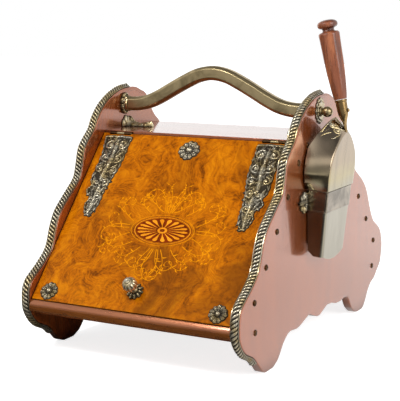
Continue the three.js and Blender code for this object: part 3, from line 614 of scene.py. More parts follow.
# %% Pan brass, with colours left by heat
tree, shader, where = start("pan_brass")
shade_and_grime, patina, _ = use(tree, "tarnish_and_shade", {"Reach": 0.006})
edge, normal = use(tree, "worn edges", {"Radius": 0.0011})
heat = between(tree, calc(tree, "ADD", axes(tree, where)["Z"], times(tree, patina, 0.02)), 0.232, 0.345)
hue = ramp(tree, heat, [(0.0, colour(164, 158, 142)), (1.0, colour(168, 150, 130)),
                        (0.2, colour(176, 162, 124)), (0.45, colour(168, 150, 124))])
brushed = noise(tree, stretched(tree, where, (1.0, 1.0, 0.02)), 700.0, 3.0)
streaks = noise(tree, stretched(tree, where, (1.0, 1.0, 0.12)), 60.0, 3.0)
tone = mix(tree, between(tree, streaks, 0.4, 0.7, 0.1, 0.4), hue, colour(128, 120, 104))
# Painted shade with some dirt: darker where other surfaces lie close.
tone = cover(tree, tone, shade_and_grime, 0.8, colour(48, 38, 22))
tone = cover(tree, tone, edge, 0.6, colour(226, 210, 164))
plug(tree, shader, Base_Color=tone, Metallic=1.0, Roughness=between(tree, patina, 0.3, 0.75, 0.15, 0.27),
     Normal=bump(tree, brushed, 0.12, 0.00015, Normal=normal))
print("pan brass made")

# %% Rosewood, japanned sheet and dark steel
tree, shader, where = start("rosewood")
figure, pores, _ = use(tree, "straight grain", {"Vector": where})
edge, normal = use(tree, "worn edges", {"Radius": 0.001})
tone = ramp(tree, figure, [(0.3, colour(67, 30, 16)), (0.7, colour(198, 124, 80)), (0.5, colour(131, 70, 40))])
tone = cover(tree, tone, pores, 0.6, colour(35, 16, 10))
tone = cover(tree, tone, edge, 0.35, colour(220, 141, 99))
plug(tree, shader, Base_Color=tone, Roughness=0.42, Coat_Weight=0.35, Coat_Roughness=0.2,
     Normal=bump(tree, pores, 0.35, 0.0003, Normal=normal))


def make_dark(name, tone, rubbed, metal, rough):
    """A dark finish with rubbed edges and a dusty bloom; `rubbed` is the colour where it has worn."""
    tree, shader, where = start(name)
    _, patina, fine = use(tree, "tarnish_and_shade", {"Reach": 0.01})
    edge, normal = use(tree, "worn edges", {"Radius": 0.0008})
    dust = use(tree, "dust")[0]
    shade = mix(tree, between(tree, patina, 0.35, 0.7, 0.0, 0.6), tone, mix(tree, 0.25, tone, rubbed))
    shade = cover(tree, shade, edge, 0.6, rubbed)
    shade = cover(tree, shade, dust, 0.2, colour(122, 112, 102))
    worn = between(tree, patina, 0.3, 0.7, rough, rough + 0.2)
    plug(tree, shader, Base_Color=shade, Metallic=metal, Roughness=worn,
         Normal=bump(tree, fine, 0.3, 0.0004, Normal=normal))


make_dark("liner_sheet", colour(35, 33, 32), colour(107, 99, 89), 0.0, 0.35)
make_dark("steel", colour(85, 80, 75), colour(188, 183, 173), 1.0, 0.34)
print("materials:", len(MATERIALS))


# %% [markdown]
# ## The side panels
# Each side was sawn from one board to a pattern of bays and noses, with two feet, and its arrises were
# eased by hand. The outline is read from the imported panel: its outer corners, in order of their angle
# about a point from which the whole outline is in sight. A small fillet then carries it round the edge.

# %% Outline of a side
def side_outline(count=1100):
    """The panel's outline (y, z) in millimetres, evenly spaced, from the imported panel's own corners."""
    mesh = NODES["side_panel_right"].data
    flat = np.empty(len(mesh.vertices) * 3)
    mesh.vertices.foreach_get("co", flat)
    corners = (flat.reshape(-1, 3) - ORIGIN) / MM
    corners = corners[corners[:, 0] > OUTER - 0.01][:, 1:]
    corners = np.unique(corners.round(3), axis=0)
    corners = corners[np.hypot(*(corners - PIVOT).T) > 8]
    order = np.argsort(np.arctan2(corners[:, 1] - 230, corners[:, 0]))
    ring = corners[order]
    ring = np.concatenate([ring, ring[:1]])
    walked = np.concatenate([[0], np.cumsum(np.hypot(*np.diff(ring, axis=0).T))])
    even = np.linspace(0, walked[-1], count, endpoint=False)
    return np.stack([np.interp(even, walked, ring[:, k]) for k in (0, 1)], -1)


def eased(ring, width):
    """The ring averaged over a few points, so that sawn corners are softened."""
    bell = np.exp(-np.linspace(-2, 2, 2 * width + 1) ** 2)
    bell /= bell.sum()
    padded = np.concatenate([ring[-width:], ring, ring[:width]])
    return np.stack([np.convolve(padded[:, k], bell, "valid") for k in (0, 1)], -1)


OUTLINE = eased(side_outline(), 4)
AHEAD = np.roll(OUTLINE, -1, 0) - np.roll(OUTLINE, 1, 0)
AHEAD /= np.hypot(*AHEAD.T)[:, None]
OUTWARD = np.stack([AHEAD[:, 1], -AHEAD[:, 0]], -1)
OUTWARD *= np.sign((OUTWARD * (OUTLINE - [0, 200])).sum())
print("outline from", OUTLINE.min(0).round(1), "to", OUTLINE.max(0).round(1))


# %% The two sides
def make_side_panel(side, sign):
    """Rings across the thickness: flat face, quarter-round arris, edge, arris and flat face."""
    arris, turn = 1.6, np.linspace(0, np.pi / 2, 6)
    inset = np.concatenate([[6.0], arris * (1 - np.sin(turn)), arris * (1 - np.sin(turn[::-1])), [6.0]])
    eased_by = arris * (1 - np.cos(turn))
    depth = np.concatenate([[0.0], eased_by, SIDE_THICK - eased_by[::-1], [SIDE_THICK]])
    ring = OUTLINE[None] - OUTWARD[None] * inset[:, None, None]
    points = to_row(stack(sign * (INNER + depth)[:, None], ring[..., 0], ring[..., 1]))
    rows, cols = points.shape[:2]
    faces = [quads(rows, cols, True), np.arange(cols)[None, ::-1], (np.arange(cols) + (rows - 1) * cols)[None]]
    flat = points.reshape(-1, 3)
    return piece(f"{side}_side", flat, facing_out(flat, faces[:1]) + faces[1:], "root", "walnut",
                 [f"side_panel_{side}"])


for side, sign in SIDES:
    tell(make_side_panel(side, sign))

# %% [markdown]
# ## The rope mouldings
# A cast half-round rope hides the front edge of each side. It could be cast in lengths and bent to the
# pattern before it was pinned on. The strands are ridges that wind with the way along the edge: the
# radius follows the absolute cosine of the strand's phase. A plain fillet runs along each side of it.

# %% The ropes
ROPE_FROM, ROPE_TO = (-227.0, 23.0), (0.0, 374.0)
STRAND_STEP, STRAND_LEAN = 5.6, 1.9


def rope_path():
    """The stretch of the outline between the rope's two ends, evenly spaced, with its outward way."""
    ends = [int(np.hypot(*(OUTLINE - p).T).argmin()) for p in (ROPE_FROM, ROPE_TO)]
    a, b = min(ends), max(ends)
    inner = np.arange(a, b + 1)
    wrapped = np.concatenate([np.arange(b, len(OUTLINE)), np.arange(0, a + 1)])
    chosen = min((inner, wrapped), key=lambda k: OUTLINE[k, 0].max())
    path, out = OUTLINE[chosen], OUTWARD[chosen]
    walked = np.concatenate([[0], np.cumsum(np.hypot(*np.diff(path, axis=0).T))])
    even = np.linspace(0, walked[-1], 1550)
    return even, *(np.stack([np.interp(even, walked, a[:, k]) for k in (0, 1)], -1) for a in (path, out))


def make_rope(side, sign):
    """Half-round section of radius 5.9 less the strand's groove, on a flat base with two fillets."""
    walked, path, out = rope_path()
    turn = np.linspace(0, np.pi, 35)[None]
    upward = np.sign(path[-1, 1] - path[0, 1])
    phase = np.pi * (walked[:, None] / STRAND_STEP + upward * sign * STRAND_LEAN * turn / np.pi)
    groove = np.abs(np.cos(phase)) ** 0.7
    reach = 4.1 + 1.8 * groove * np.sin(turn) ** 0.35
    aside, rise = reach * np.cos(turn), 0.3 + reach * np.sin(turn)
    fillet = np.array([[-6.4, 0.3], [-6.4, 2.0], [-5.3, 2.0], [-5.1, 0.6]])
    all_along = lambda four: np.broadcast_to(four, (len(walked), 4))
    right, left = fillet * [-1, 1], fillet[::-1]
    aside = np.concatenate([all_along(right[:, 0]), aside, all_along(left[:, 0])], 1)
    rise = np.concatenate([all_along(right[:, 1]), rise, all_along(left[:, 1])], 1)
    spot = path[:, None] + out[:, None] * rise[..., None]
    rings = to_row(stack(sign * (INNER + SIDE_THICK / 2) + aside, spot[..., 0], spot[..., 1]))
    # Relief share for painted light: shade in the grooves between strands and along the base, highlights on the
    # strands' crowns, and 0.7 on the fillets.
    mid = np.zeros(aside.shape)
    mid[:, 4:-4] = 0.86 * groove**1.5 * np.sin(turn) ** 0.4
    mid[:, [1, 2, -2, -3]] = 0.7
    relief = np.concatenate([mid.ravel(), [0.3, 0.3]])
    return closed_piece(f"{side}_rope", skin(rings), "root", "cast_mounts", f"rope_moulding_{side}", sharp=60,
                        relief=relief)


for side, sign in SIDES:
    tell(make_rope(side, sign))

# %% [markdown]
# ## The front rail
# A moulded rail closes the box below the lid. Its nose is a soft bead over a small cove, planed along the
# length, and here it is one profile carried across the scuttle.

# %% The rail's moulding
def make_front_rail():
    """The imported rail's section, with a rounded nose and a cove under it, between the two sides."""
    low, high = (np.array(v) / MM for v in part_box("front_rail"))
    y0, z0, y1, z1 = low[1] - ORIGIN[1] / MM, low[2], high[1] - ORIGIN[1] / MM, high[2]
    nose = through([[y0 + 2.2, z1 - 3.2], [y0 + 0.4, z1 - 6.6], [y0, z1 - 10.6], [y0 + 0.8, z1 - 14.4],
                    [y0 + 3.4, z1 - 17.6], [y0 + 7.4, z0 + 1.2]], 26)
    top = [[y1 - 1.0, z0 + 9.5], [y0 + 10.6, z1 - 7.4], [y0 + 4.6, z1 - 0.2]]
    under = [[y0 + 8.6, z0 + 0.1], [y1 - 0.4, z0 + 0.1]]
    section = np.concatenate([top, nose, under])
    x = np.array([-1, -0.9985, 0.9985, 1])[:, None] * (INNER - GAP)
    shrink = np.array([0.6, 0, 0, 0.6])[:, None]
    middle = section.mean(0)
    way = (section - middle) / np.linalg.norm(section - middle, axis=1, keepdims=True)
    rings = to_row(stack(x, section[:, 0] - shrink * way[:, 0], section[:, 1] - shrink * way[:, 1]))
    return closed_piece("front_moulding", skin(rings), "root", "walnut", "front_rail", "walnut_rail", 50)


tell(make_front_rail())

# %% [markdown]
# ## The inlay of the lid
# The oval fan is marquetry: petals of pale wood, each let into a dark oval, inside a ring of stringing.
# Scrolling leaves of the same pale wood spread around it. Veneers lie flush in a real lid, so these are
# sheets a few hundredths of a millimetre above its face.

# %% Fan and scrolls
FAN = (6.0, 166.0)
FAN_HALF = (43.6, 20.0)
PETALS = 18
VENEER = 0.03


def inlay(name, x, y, layer, finish):
    """A sheet on the lid's face; x is across from the fan's middle and y up the slope from it."""
    grid = on_lid(FAN[0] + x, FAN[1] - y, LID_FACE + VENEER * layer)
    faces = quads(*x.shape[-2:])
    blocks = grid.reshape(-1, x.shape[-2] * x.shape[-1], 3)
    steps = np.arange(len(blocks))[:, None, None] * blocks.shape[1]
    return piece(name, blocks.reshape(-1, 3), [(faces[None, :, ::-1] + steps).reshape(-1, 4)], "lid",
                 "burr_walnut", (), finish)


def oval(name, inside, outside, half, layer, finish):
    """An oval ring between two shares of its half width and half height."""
    turn = np.linspace(0, 2 * np.pi, 145)[None]
    share = np.linspace(inside, outside, 4)[:, None]
    inlay(name, share * half[0] * np.cos(turn), share * half[1] * np.sin(turn), layer, finish)


def make_fan():
    """Dark oval, ring of stringing, petals with round ends, and a pale middle with a dark eye."""
    wide, tall = FAN_HALF
    border, heart = (wide + 1.2, tall + 2.2), (40, 25)
    oval("fan_ground", 0.02, 1, FAN_HALF, 1, "inlay_dark")
    oval("fan_ring", 1.0, 1.03, border, 1, "inlay_light")
    oval("fan_edge", 1.03, 1.06, border, 1, "inlay_dark")
    oval("fan_string", 1.13, 1.155, border, 1, "inlay_line")
    middle = (np.arange(PETALS) * 2 * np.pi / PETALS)[:, None, None]
    t = np.linspace(0, 1, 14)[None, :, None]
    u = np.linspace(-1, 1, 7)[None, None, :]
    club = np.sqrt(np.clip(1 - ((t - 0.78) / 0.22) ** 2, 0, 1))
    width = 0.03 + 0.075 * np.where(t > 0.78, club, fade(t, 0.1, 0.68) ** 1.4)
    reach = 0.24 + 0.7 * t
    turn = middle + u * width
    inlay("fan_petals", wide * reach * np.cos(turn), tall * reach * np.sin(turn), 2, "inlay_light")
    oval("fan_middle", 0.02, 0.2, heart, 3, "inlay_light")
    oval("fan_eye", 0.02, 0.1, heart, 4, "inlay_dark")


def ribbons(stems, count=60):
    """Tapering ribbons: each stem is x, y, start angle, turn per length, tightening, length and width."""
    s = np.asarray(stems, float)[:, :, None]
    t = np.linspace(0, 1, count)[None]
    angle = s[:, 2] + s[:, 3] * t + s[:, 4] * t**3
    step = s[:, 5] / count
    x = s[:, 0] + np.cumsum(np.cos(angle), 1) * step
    y = s[:, 1] + np.cumsum(np.sin(angle), 1) * step
    half = s[:, 6] * (0.75 - 0.5 * t)
    u = np.linspace(-1, 1, 3)[None, None]
    return (x[..., None] - np.sin(angle)[..., None] * half[..., None] * u,
            y[..., None] + np.cos(angle)[..., None] * half[..., None] * u)


def leaves(spots, count=12):
    """Pointed leaves: each is x, y, direction, length and width, and its width swells as a sine."""
    s = np.asarray(spots, float)[:, :, None, None]
    t = np.linspace(0, 1, count)[None, :, None]
    u = np.linspace(-1, 1, 5)[None, None]
    side = s[:, 4] / 2 * np.sin(np.pi * t**0.75) * u
    way = s[:, 3] * t
    bend = s[:, 2] + 0.5 * t
    return (s[:, 0] + way * np.cos(bend) - side * np.sin(bend),
            s[:, 1] + way * np.sin(bend) + side * np.cos(bend))


def make_scrolls():
    """Stems curl out of the fan's ends and of its top and bottom, mirrored left to right."""
    half = [
        (4, 28, 1.15, 0.5, -7.4, 92, 0.8), (6, 30, 0.35, 1.3, 6.6, 74, 0.8),
        (28, 27, 0.5, 0.6, 6.4, 66, 0.8), (1.5, 28, 1.52, -0.1, -1.2, 62, 0.8),
        (3, 30, 1.3, -0.2, 1.2, 56, 0.8), (50, 10, 0.5, 0.4, 6.8, 84, 0.9),
        (54, 4, 0.1, -0.7, -6.6, 92, 0.9), (54, 0, -0.1, 0.3, 5.6, 76, 0.8),
        (50, -8, -0.4, -0.6, -6.4, 78, 0.8), (40, -22, -0.6, 0.7, 6.4, 84, 0.8),
        (24, -29, -0.9, 0.5, 6.6, 70, 0.8), (8, -30, -1.0, -0.4, -6.8, 86, 0.8),
        (4, -30, -1.2, -0.9, -7.6, 108, 0.9), (2.5, -30, -1.5, 1.2, 7.4, 90, 0.9),
        (30, 44, 0.9, -0.8, -5.6, 44, 0.7), (70, 24, 0.4, 0.7, 6.2, 52, 0.7),
        (72, -22, -0.4, -0.7, -6.2, 52, 0.7), (30, -50, -0.8, 0.8, 6.0, 52, 0.7),
    ]
    both = half + [(-x, y, np.pi - a, -b, -c, n, w) for x, y, a, b, c, n, w in half]
    inlay("scroll_stems", *ribbons(both), 1, "inlay_line")
    x, y = ribbons(half)
    at = np.array([10, 18, 27, 36, 45, 52])
    spots = []
    for k, lean in zip(at, (0.8, -0.9, 1.0, -0.8, 0.9, -0.7)):
        way = np.arctan2(y[:, k + 1, 1] - y[:, k, 1], x[:, k + 1, 1] - x[:, k, 1])
        length, width = np.full(len(x), 9.0 - k / 9), np.full(len(x), 1.9)
        spots.append(np.stack([x[:, k, 1], y[:, k, 1], way + lean, length, width], -1))
    lx, ly = leaves(np.concatenate(spots))
    inlay("scroll_leaves", np.concatenate([lx, -lx]), np.concatenate([ly, ly]), 2, "inlay_line")


make_fan()
make_scrolls()
print("inlay sheets:", sum(1 for o, f in MADE if f.startswith("inlay")))

# %% [markdown]
# ## The mounts of the lid
# Two long cast straps hang from the hinge line, a rosette sits between them, and two more sit in the
# lower corners. Each strap has a beaded border, a pair of volutes at the top and a chain of scrolls and
# acanthus leaves that narrows to a leaf's tip, all on a thin plate.

# %% The two straps
STRAP_EDGE = [(54, 20), (54, 60), (48, 90), (45, 110), (43, 142), (30, 156), (21, 137), (25, 124), (13, 112),
              (18, 100), (12, 88), (12, 44), (7, 14), (9, 5.5), (51, 5.5)]


def foliage(rows, count, seed, wide=2.1, high=2.4):
    """Small leaves strewn evenly between the left and right edges (s, left, right), pointing all ways."""
    chance = np.random.default_rng(seed)
    rows = np.array(rows, float)
    steps = np.linspace(rows[0, 0], rows[-1, 0], 400)
    area = np.cumsum(np.interp(steps, rows[:, 0], rows[:, 2] - rows[:, 1]))
    down = np.interp(np.linspace(0, 1, count), area / area[-1], steps)
    left, right = np.interp(down, rows[:, 0], rows[:, 1]), np.interp(down, rows[:, 0], rows[:, 2])
    across = left + (right - left) * chance.uniform(0.06, 0.94, count)
    way = chance.uniform(0.3, 2.8, count)
    length = chance.uniform(5, 9, count)
    tops = high * chance.uniform(0.42, 1.0, count)
    bends = chance.uniform(-0.8, 0.8, count)
    each = zip(across, down, way, length, tops, bends)
    return [leaf(x, y, w, n, wide, h, b, 3, 16) for x, y, w, n, h, b in each]


STRAP_ROWS = [(7, 11, 51), (20, 10, 53), (45, 14, 53), (60, 14, 53), (88, 15, 47), (100, 19, 45), (112, 16, 44),
              (125, 26, 43), (142, 24, 41), (152, 28, 34)]


def strap_strokes():
    """Border, volutes, scroll chain, leaves and bosses of one strap, in millimetres from the lid's side."""
    middle = np.array([32.0, 70.0])
    border = middle + (np.array(STRAP_EDGE, float) - middle) * [0.93, 0.97]
    return [
        line(border, 1.9, 2.0, 44, 300, True),
        line([(10, 8.5), (32, 7.5), (52, 8.5)], 2.4, 2.2, 9, 60),
        spiral(22, 25, 8.6, -1.2, -1.35, 2.2, 3.0), spiral(43, 25, 8.6, 4.3, 1.35, 2.2, 3.0),
        leaf(32, 14, 1.57, 26, 5.0, 3.1, 0.0, 4), spiral(22, 48, 7.6, 1.2, 1.3, 2.1, 2.9),
        spiral(44, 49, 7.8, 1.9, -1.3, 2.1, 2.9), leaf(33, 38, 1.57, 28, 5.4, 3.1, 0.0, 5),
        leaf(16, 36, 0.5, 12, 3.0, 2.5, 0.6, 3), leaf(50, 36, 2.6, 12, 3.0, 2.5, -0.6, 3),
        spiral(21, 70, 7.2, -1.4, -1.3, 2.0, 2.8), spiral(44, 72, 7.4, 4.6, 1.3, 2.0, 2.8),
        leaf(31, 62, 1.6, 27, 4.8, 3.1, 0.1, 5), leaf(48, 60, 2.2, 13, 3.2, 2.5, 0.7, 3),
        leaf(17, 84, 0.9, 13, 3.2, 2.5, 0.5, 3), spiral(39, 92, 7.0, 1.6, -1.3, 2.0, 2.8),
        spiral(25, 96, 6.4, 1.4, 1.25, 1.9, 2.7), leaf(33, 98, 1.6, 26, 4.6, 3.1, 0.0, 5),
        leaf(42, 102, 2.0, 14, 3.2, 2.6, -0.3, 3), leaf(20, 106, 0.9, 13, 3.0, 2.5, 0.4, 3),
        spiral(37, 118, 6.0, 1.7, -1.25, 1.9, 2.7), spiral(28, 124, 4.8, 1.2, 1.2, 1.7, 2.6),
        leaf(33, 122, 1.6, 30, 5.0, 3.1, 0.05, 6), leaf(41, 126, 1.9, 14, 2.8, 2.4, 0.3, 3),
        leaf(25, 130, 1.2, 13, 2.6, 2.3, 0.3, 3),
        np.array([(33, 36, 2.6, 3.3), (32, 61, 2.5, 3.3), (32, 91, 2.4, 3.2), (33, 119, 2.2, 3.1)], float),
    ] + foliage(STRAP_ROWS, 300, 3, 2.1)


def strap_plate(inset, down, thick=0.6):
    """A thin plate between the strap's left and right edges, half a millimetre past each."""
    at, left, right = np.array(STRAP_ROWS, float).T
    within = (inset > np.interp(down, at, left) - 0.5) & (inset < np.interp(down, at, right) + 0.5)
    return thick * (within & (down > 7) & (down < 151))


down, inset = np.meshgrid(np.linspace(4.5, 157, 270), np.linspace(6.5, 55.5, 88), indexing="ij")
strap_high = np.maximum(height_of(inset, down, strap_strokes()), strap_plate(inset, down))
for side, sign in SIDES:
    place = lambda x, y, h, s=sign: on_lid(s * (LID_HALF - x), y, LID_FACE + 0.1 + h)
    tell(casting(f"{side}_lid_mount", inset, down, strap_high, place, "lid", f"lid_strap_{side}"))


# %% The rosettes
def make_rosette(name, across, down, radius, node_name, petals=11, rise=5.2):
    """Petal depth follows the absolute cosine of the angle, over a dished ring and a beaded middle."""
    share = np.linspace(0, 1, 40)[:, None]
    turn = circle(144)[None]
    petal = np.abs(np.cos(petals * turn / 2)) ** 0.7
    major = 0.5 + 0.5 * np.cos(4 * turn)
    edge = radius * (0.84 + 0.09 * petal + 0.07 * major)
    fan = (0.35 + 0.65 * petal) * np.sin(np.pi * fade(share, 0.3, 0.72)) ** 0.6
    veins = 0.78 + 0.16 * np.cos(3 * petals * turn) + 0.12 * np.cos(26 * share + 5 * turn)
    bead = 0.8 * np.exp(-((share - 0.3) / 0.055) ** 2) * (0.6 + 0.4 * np.cos(14 * turn))
    dome = np.sqrt(np.clip(1 - (share / 0.24) ** 2, 0, 1))
    out = rise * np.maximum.reduce([0.62 * fan * veins, bead * 0.62 + 0 * turn, 0.98 * dome + 0 * turn])
    out = out * fade(share, 1, -0.04)
    reach = edge * share
    grid = on_lid(across + reach * np.cos(turn), down + reach * np.sin(turn), LID_FACE + 0.1 + out)
    # Relief share for painted light: painted highlights on the high petals and middle, painted shade in
    # between.
    relief = np.broadcast_to(out / rise * 1.5, grid.shape[:2])
    return piece(name, grid.reshape(-1, 3), [quads(*grid.shape[:2], True)[:, ::-1]], "lid", "cast_mounts",
                 [node_name], sharp=75, relief=relief.ravel())


make_rosette("top_rosette", -1, 25, 18.3, "rosette_top")
make_rosette("left_rosette", -(LID_HALF - 24), 285, 15, "rosette_lower_left")
make_rosette("right_rosette", LID_HALF - 24, 285, 15, "rosette_lower_right")
print("rosettes made")

# %% [markdown]
# ## The lid's knob
# A turned brass knob, its head chased with gadroons, screws down on a small leafy rose near the lid's
# lower edge. Both are profiles turned about the lid's normal, with flutes in the head and the rose.

# %% Knob and rose
KNOB = (1.5, 268.0)
ROSE_LOBES, HEAD_LOBES = 10, 12
ROSE = [[3.4, 0.1], [12.2, 0.1], [13, 1.2], [12.4, 2.4], [10.2, 3.0], [8.4, 4.6], [6.4, 4.4], [3.4, 5.0]]
HEAD = [[3, 0.3], [3, 5.4], [5.8, 5.8], [5.4, 7.2], [4.4, 8.8], [5.0, 10.6], [7.4, 12.2], [9.8, 15.2],
        [10.9, 19.2], [10.6, 23], [8.6, 26.4], [5.0, 28.2], [3.4, 28.0], [2.6, 28.8], [0.2, 29]]


def on_knob(x, y, z):
    """Closed rings about the knob's place on the lid."""
    return skin(on_lid(KNOB[0] + x, KNOB[1] + y, LID_FACE + GAP + z))


def make_rose():
    """A fluted disc, with a painted highlight towards its top and along its lobes."""
    x, y, z = turned(ROSE, 96, ROSE_LOBES, 0.16, 40)
    # Painted highlight: the relief share rises with height and along the lobes.
    bright = z / 5 * (0.55 + 0.45 * np.cos(ROSE_LOBES * circle(96)))
    return closed_piece("knob_leaf_rose", on_knob(x, y, z), "lid", "cast_mounts", "knob_rose", sharp=70,
                        relief=np.append(bright, [0.5, 0.5]))


def make_knob():
    """A turned stem and head; the flutes fade in above the neck and out below the top."""
    x, y, z = turned(HEAD, 96, HEAD_LOBES, 0.1, 90)
    share = fade(z, 11, 3) * fade(z, 28.2, -2)
    round_x, round_y, _ = turned(HEAD, 96, count=90)
    x, y = round_x + (x - round_x) * share, round_y + (y - round_y) * share
    # Painted highlight along the head's lobes, through the relief share.
    lobe = 0.5 + 0.5 * np.cos(HEAD_LOBES * circle(96))
    return closed_piece("chased_knob", on_knob(x, y, z), "lid", "cast_mounts", "lid_knob", sharp=60,
                        relief=np.append(0.55 + 0.4 * lobe * share, [0.6, 0.9]))


tell(make_rose(), make_knob())

# %% [markdown]
# ## The bow handle
# The handle was cast or forged as an eight-sided bar and bent to a low bow. Its section is an oblong with
# broad chamfers whose arrises have worn round, carried along the bow's middle line, and each end meets an
# eight-sided flange that turns against the mount on the side.

# %% The bar
BOSS_RISE, FLANGE_THICK = 8, 3.4
BAR_END = INNER - GAP - BOSS_RISE - GAP - FLANGE_THICK - GAP


def bar_section(half_d=9.0, half_h=11.0, chamfer=4.2, soft=0.9, each=5):
    """An eight-sided section whose corners are cut back by `soft` and rounded."""
    d, h, c = half_d, half_h, chamfer
    corners = np.array([[d, h - c], [d - c, h], [c - d, h], [-d, h - c], [-d, c - h], [c - d, -h], [d - c, -h],
                        [d, c - h]])
    before, after = np.roll(corners, 1, 0) - corners, np.roll(corners, -1, 0) - corners
    p = corners + before / np.linalg.norm(before, axis=1, keepdims=True) * soft
    q = corners + after / np.linalg.norm(after, axis=1, keepdims=True) * soft
    t = np.linspace(0, 1, each)[None, :, None]
    round_off = (1 - t) ** 2 * p[:, None] + 2 * t * (1 - t) * corners[:, None] + t**2 * q[:, None]
    return round_off.reshape(-1, 2)


half = np.array([[0, 1], [0.16, 0.925], [0.308, 0.74], [0.468, 0.5], [0.615, 0.27], [0.749, 0.1],
                 [0.883, 0.015], [1, 0]])
bow = np.concatenate([half[:0:-1] * [-1, 1], half]) * [BAR_END, 52]
path = through(bow, 180)
ahead = np.gradient(path, axis=0)
ahead /= np.linalg.norm(ahead, axis=1, keepdims=True)
section = bar_section()
x = path[:, :1] - ahead[:, 1:] * section[:, 1]
z = path[:, 1:] + ahead[:, :1] * section[:, 1]
rings = to_row(stack(x, PIVOT[0] + section[:, 0], PIVOT[1] + z))
tell(closed_piece("bow_bar", skin(rings), "handle", "handle_brass", "handle_bar", sharp=50))


# %% Flanges and ball nuts
def make_flange(side, sign):
    """An eight-sided disc with eased rims: the circle's radius is held under the flat's distance."""
    turn = circle(96)
    corner = np.mod(turn, np.pi / 4) - np.pi / 8
    flat = np.minimum(12.5 * np.cos(np.pi / 8) / np.cos(corner), 12.2)
    inset = np.array([1.0, 0.3, 0.0, 0.0, 0.3, 1.0])[:, None]
    out = np.array([0.0, 0.2, 0.8, 2.6, 3.2, 3.4])[:, None]
    radius = flat - inset
    rings = along_x(out, radius * np.cos(turn), radius * np.sin(turn), sign, BAR_END + GAP, PIVOT)
    return closed_piece(f"{side}_flange", skin(rings), "handle", "handle_brass", f"handle_flange_{side}",
                        sharp=45)


def make_nut(side, sign):
    """Collar, neck and ball: one turned profile along the pivot."""
    ball = np.linspace(2.35, 0.06, 26)
    knob = np.stack([8 * np.sin(ball), 10.2 + 8 * np.cos(ball)], -1)
    neck = [[3.9, -4.0], [3.9, 0.05], [7.2, 0.05], [7.4, 0.8], [7.0, 1.6], [5.2, 2.0], [4.9, 3.0]]
    radius, out = np.concatenate([neck, knob]).T[..., None]
    turn = circle(64)
    rings = along_x(out, radius * np.cos(turn), radius * np.sin(turn), sign, OUTER + 3.3, PIVOT)
    return closed_piece(f"{side}_ball_nut", skin(rings), "handle", "handle_brass", f"handle_nut_{side}",
                        sharp=55)


for side, sign in SIDES:
    make_flange(side, sign)
    make_nut(side, sign)
print("flanges and nuts made")


# %% [markdown]
# ## Mounts at the handle's ends
# Inside each side a leafy oval boss carries the flange, outside an oval plate carries the nut, and a
# bracket with a leaf-shaped foot stands on the top board below. The ovals are reliefs over an angle and a
# share of the radius. The bracket's foot is a leaf whose height follows a curve along it.

# %% Bosses and plates
def oval_mount(name, node_name, sign, half, start, rise, middle, lobes, hole, inward):
    """Lobes round the rim, a beaded ring inside it and a plain seat about the hole."""
    share = np.linspace(0, 1, 36)[:, None]
    turn = circle(160)[None]
    petal = np.abs(np.cos(lobes * turn / 2)) ** 0.6
    edge = 0.88 + 0.12 * petal
    rim = np.sin(np.pi * fade(share, 0.58, 0.46)) ** 0.7 * (0.45 + 0.55 * petal)
    veins = 0.88 + 0.12 * np.cos(3 * lobes * turn)
    ring = np.exp(-((share - 0.56) / 0.05) ** 2) * (0.72 + 0.28 * np.cos(26 * turn))
    seat = fade(share, 0.6, -0.04)
    out = rise * np.maximum.reduce([0.8 * rim * veins, 0.95 * ring, seat + 0 * turn])
    out = out * fade(share, 1, -0.03)
    a, b = half
    radius = hole + (1 - hole) * share
    grid = along_x(-out if inward else out, a * edge * radius * np.cos(turn), b * edge * radius * np.sin(turn),
                   sign, start, middle)
    # Relief share for painted light: the rim, the beaded ring and the seat get painted highlights, the hollows
    # between them painted shade.
    relief = np.clip(np.maximum.reduce([rim * veins, ring, 0.7 * seat + 0 * turn]), 0, 1)
    faces = quads(*grid.shape[:2], True)
    if (sign > 0) == inward:
        faces = faces[:, ::-1]
    return piece(name, grid.reshape(-1, 3), [faces], "root", "cast_mounts", [node_name], sharp=75,
                 relief=relief.ravel())


for side, sign in SIDES:
    oval_mount(f"{side}_boss", f"handle_boss_{side}", sign, (12, 17.5), INNER - GAP, BOSS_RISE, PIVOT, lobes=9,
               hole=0.38, inward=True)
    oval_mount(f"{side}_plate", f"handle_back_plate_{side}", sign, (17, 20), OUTER + GAP, 2.5, (-15, 350),
               lobes=12, hole=0.28, inward=False)
print("bosses and plates made")


# %% Brackets
BOARD_TOP = 311.35


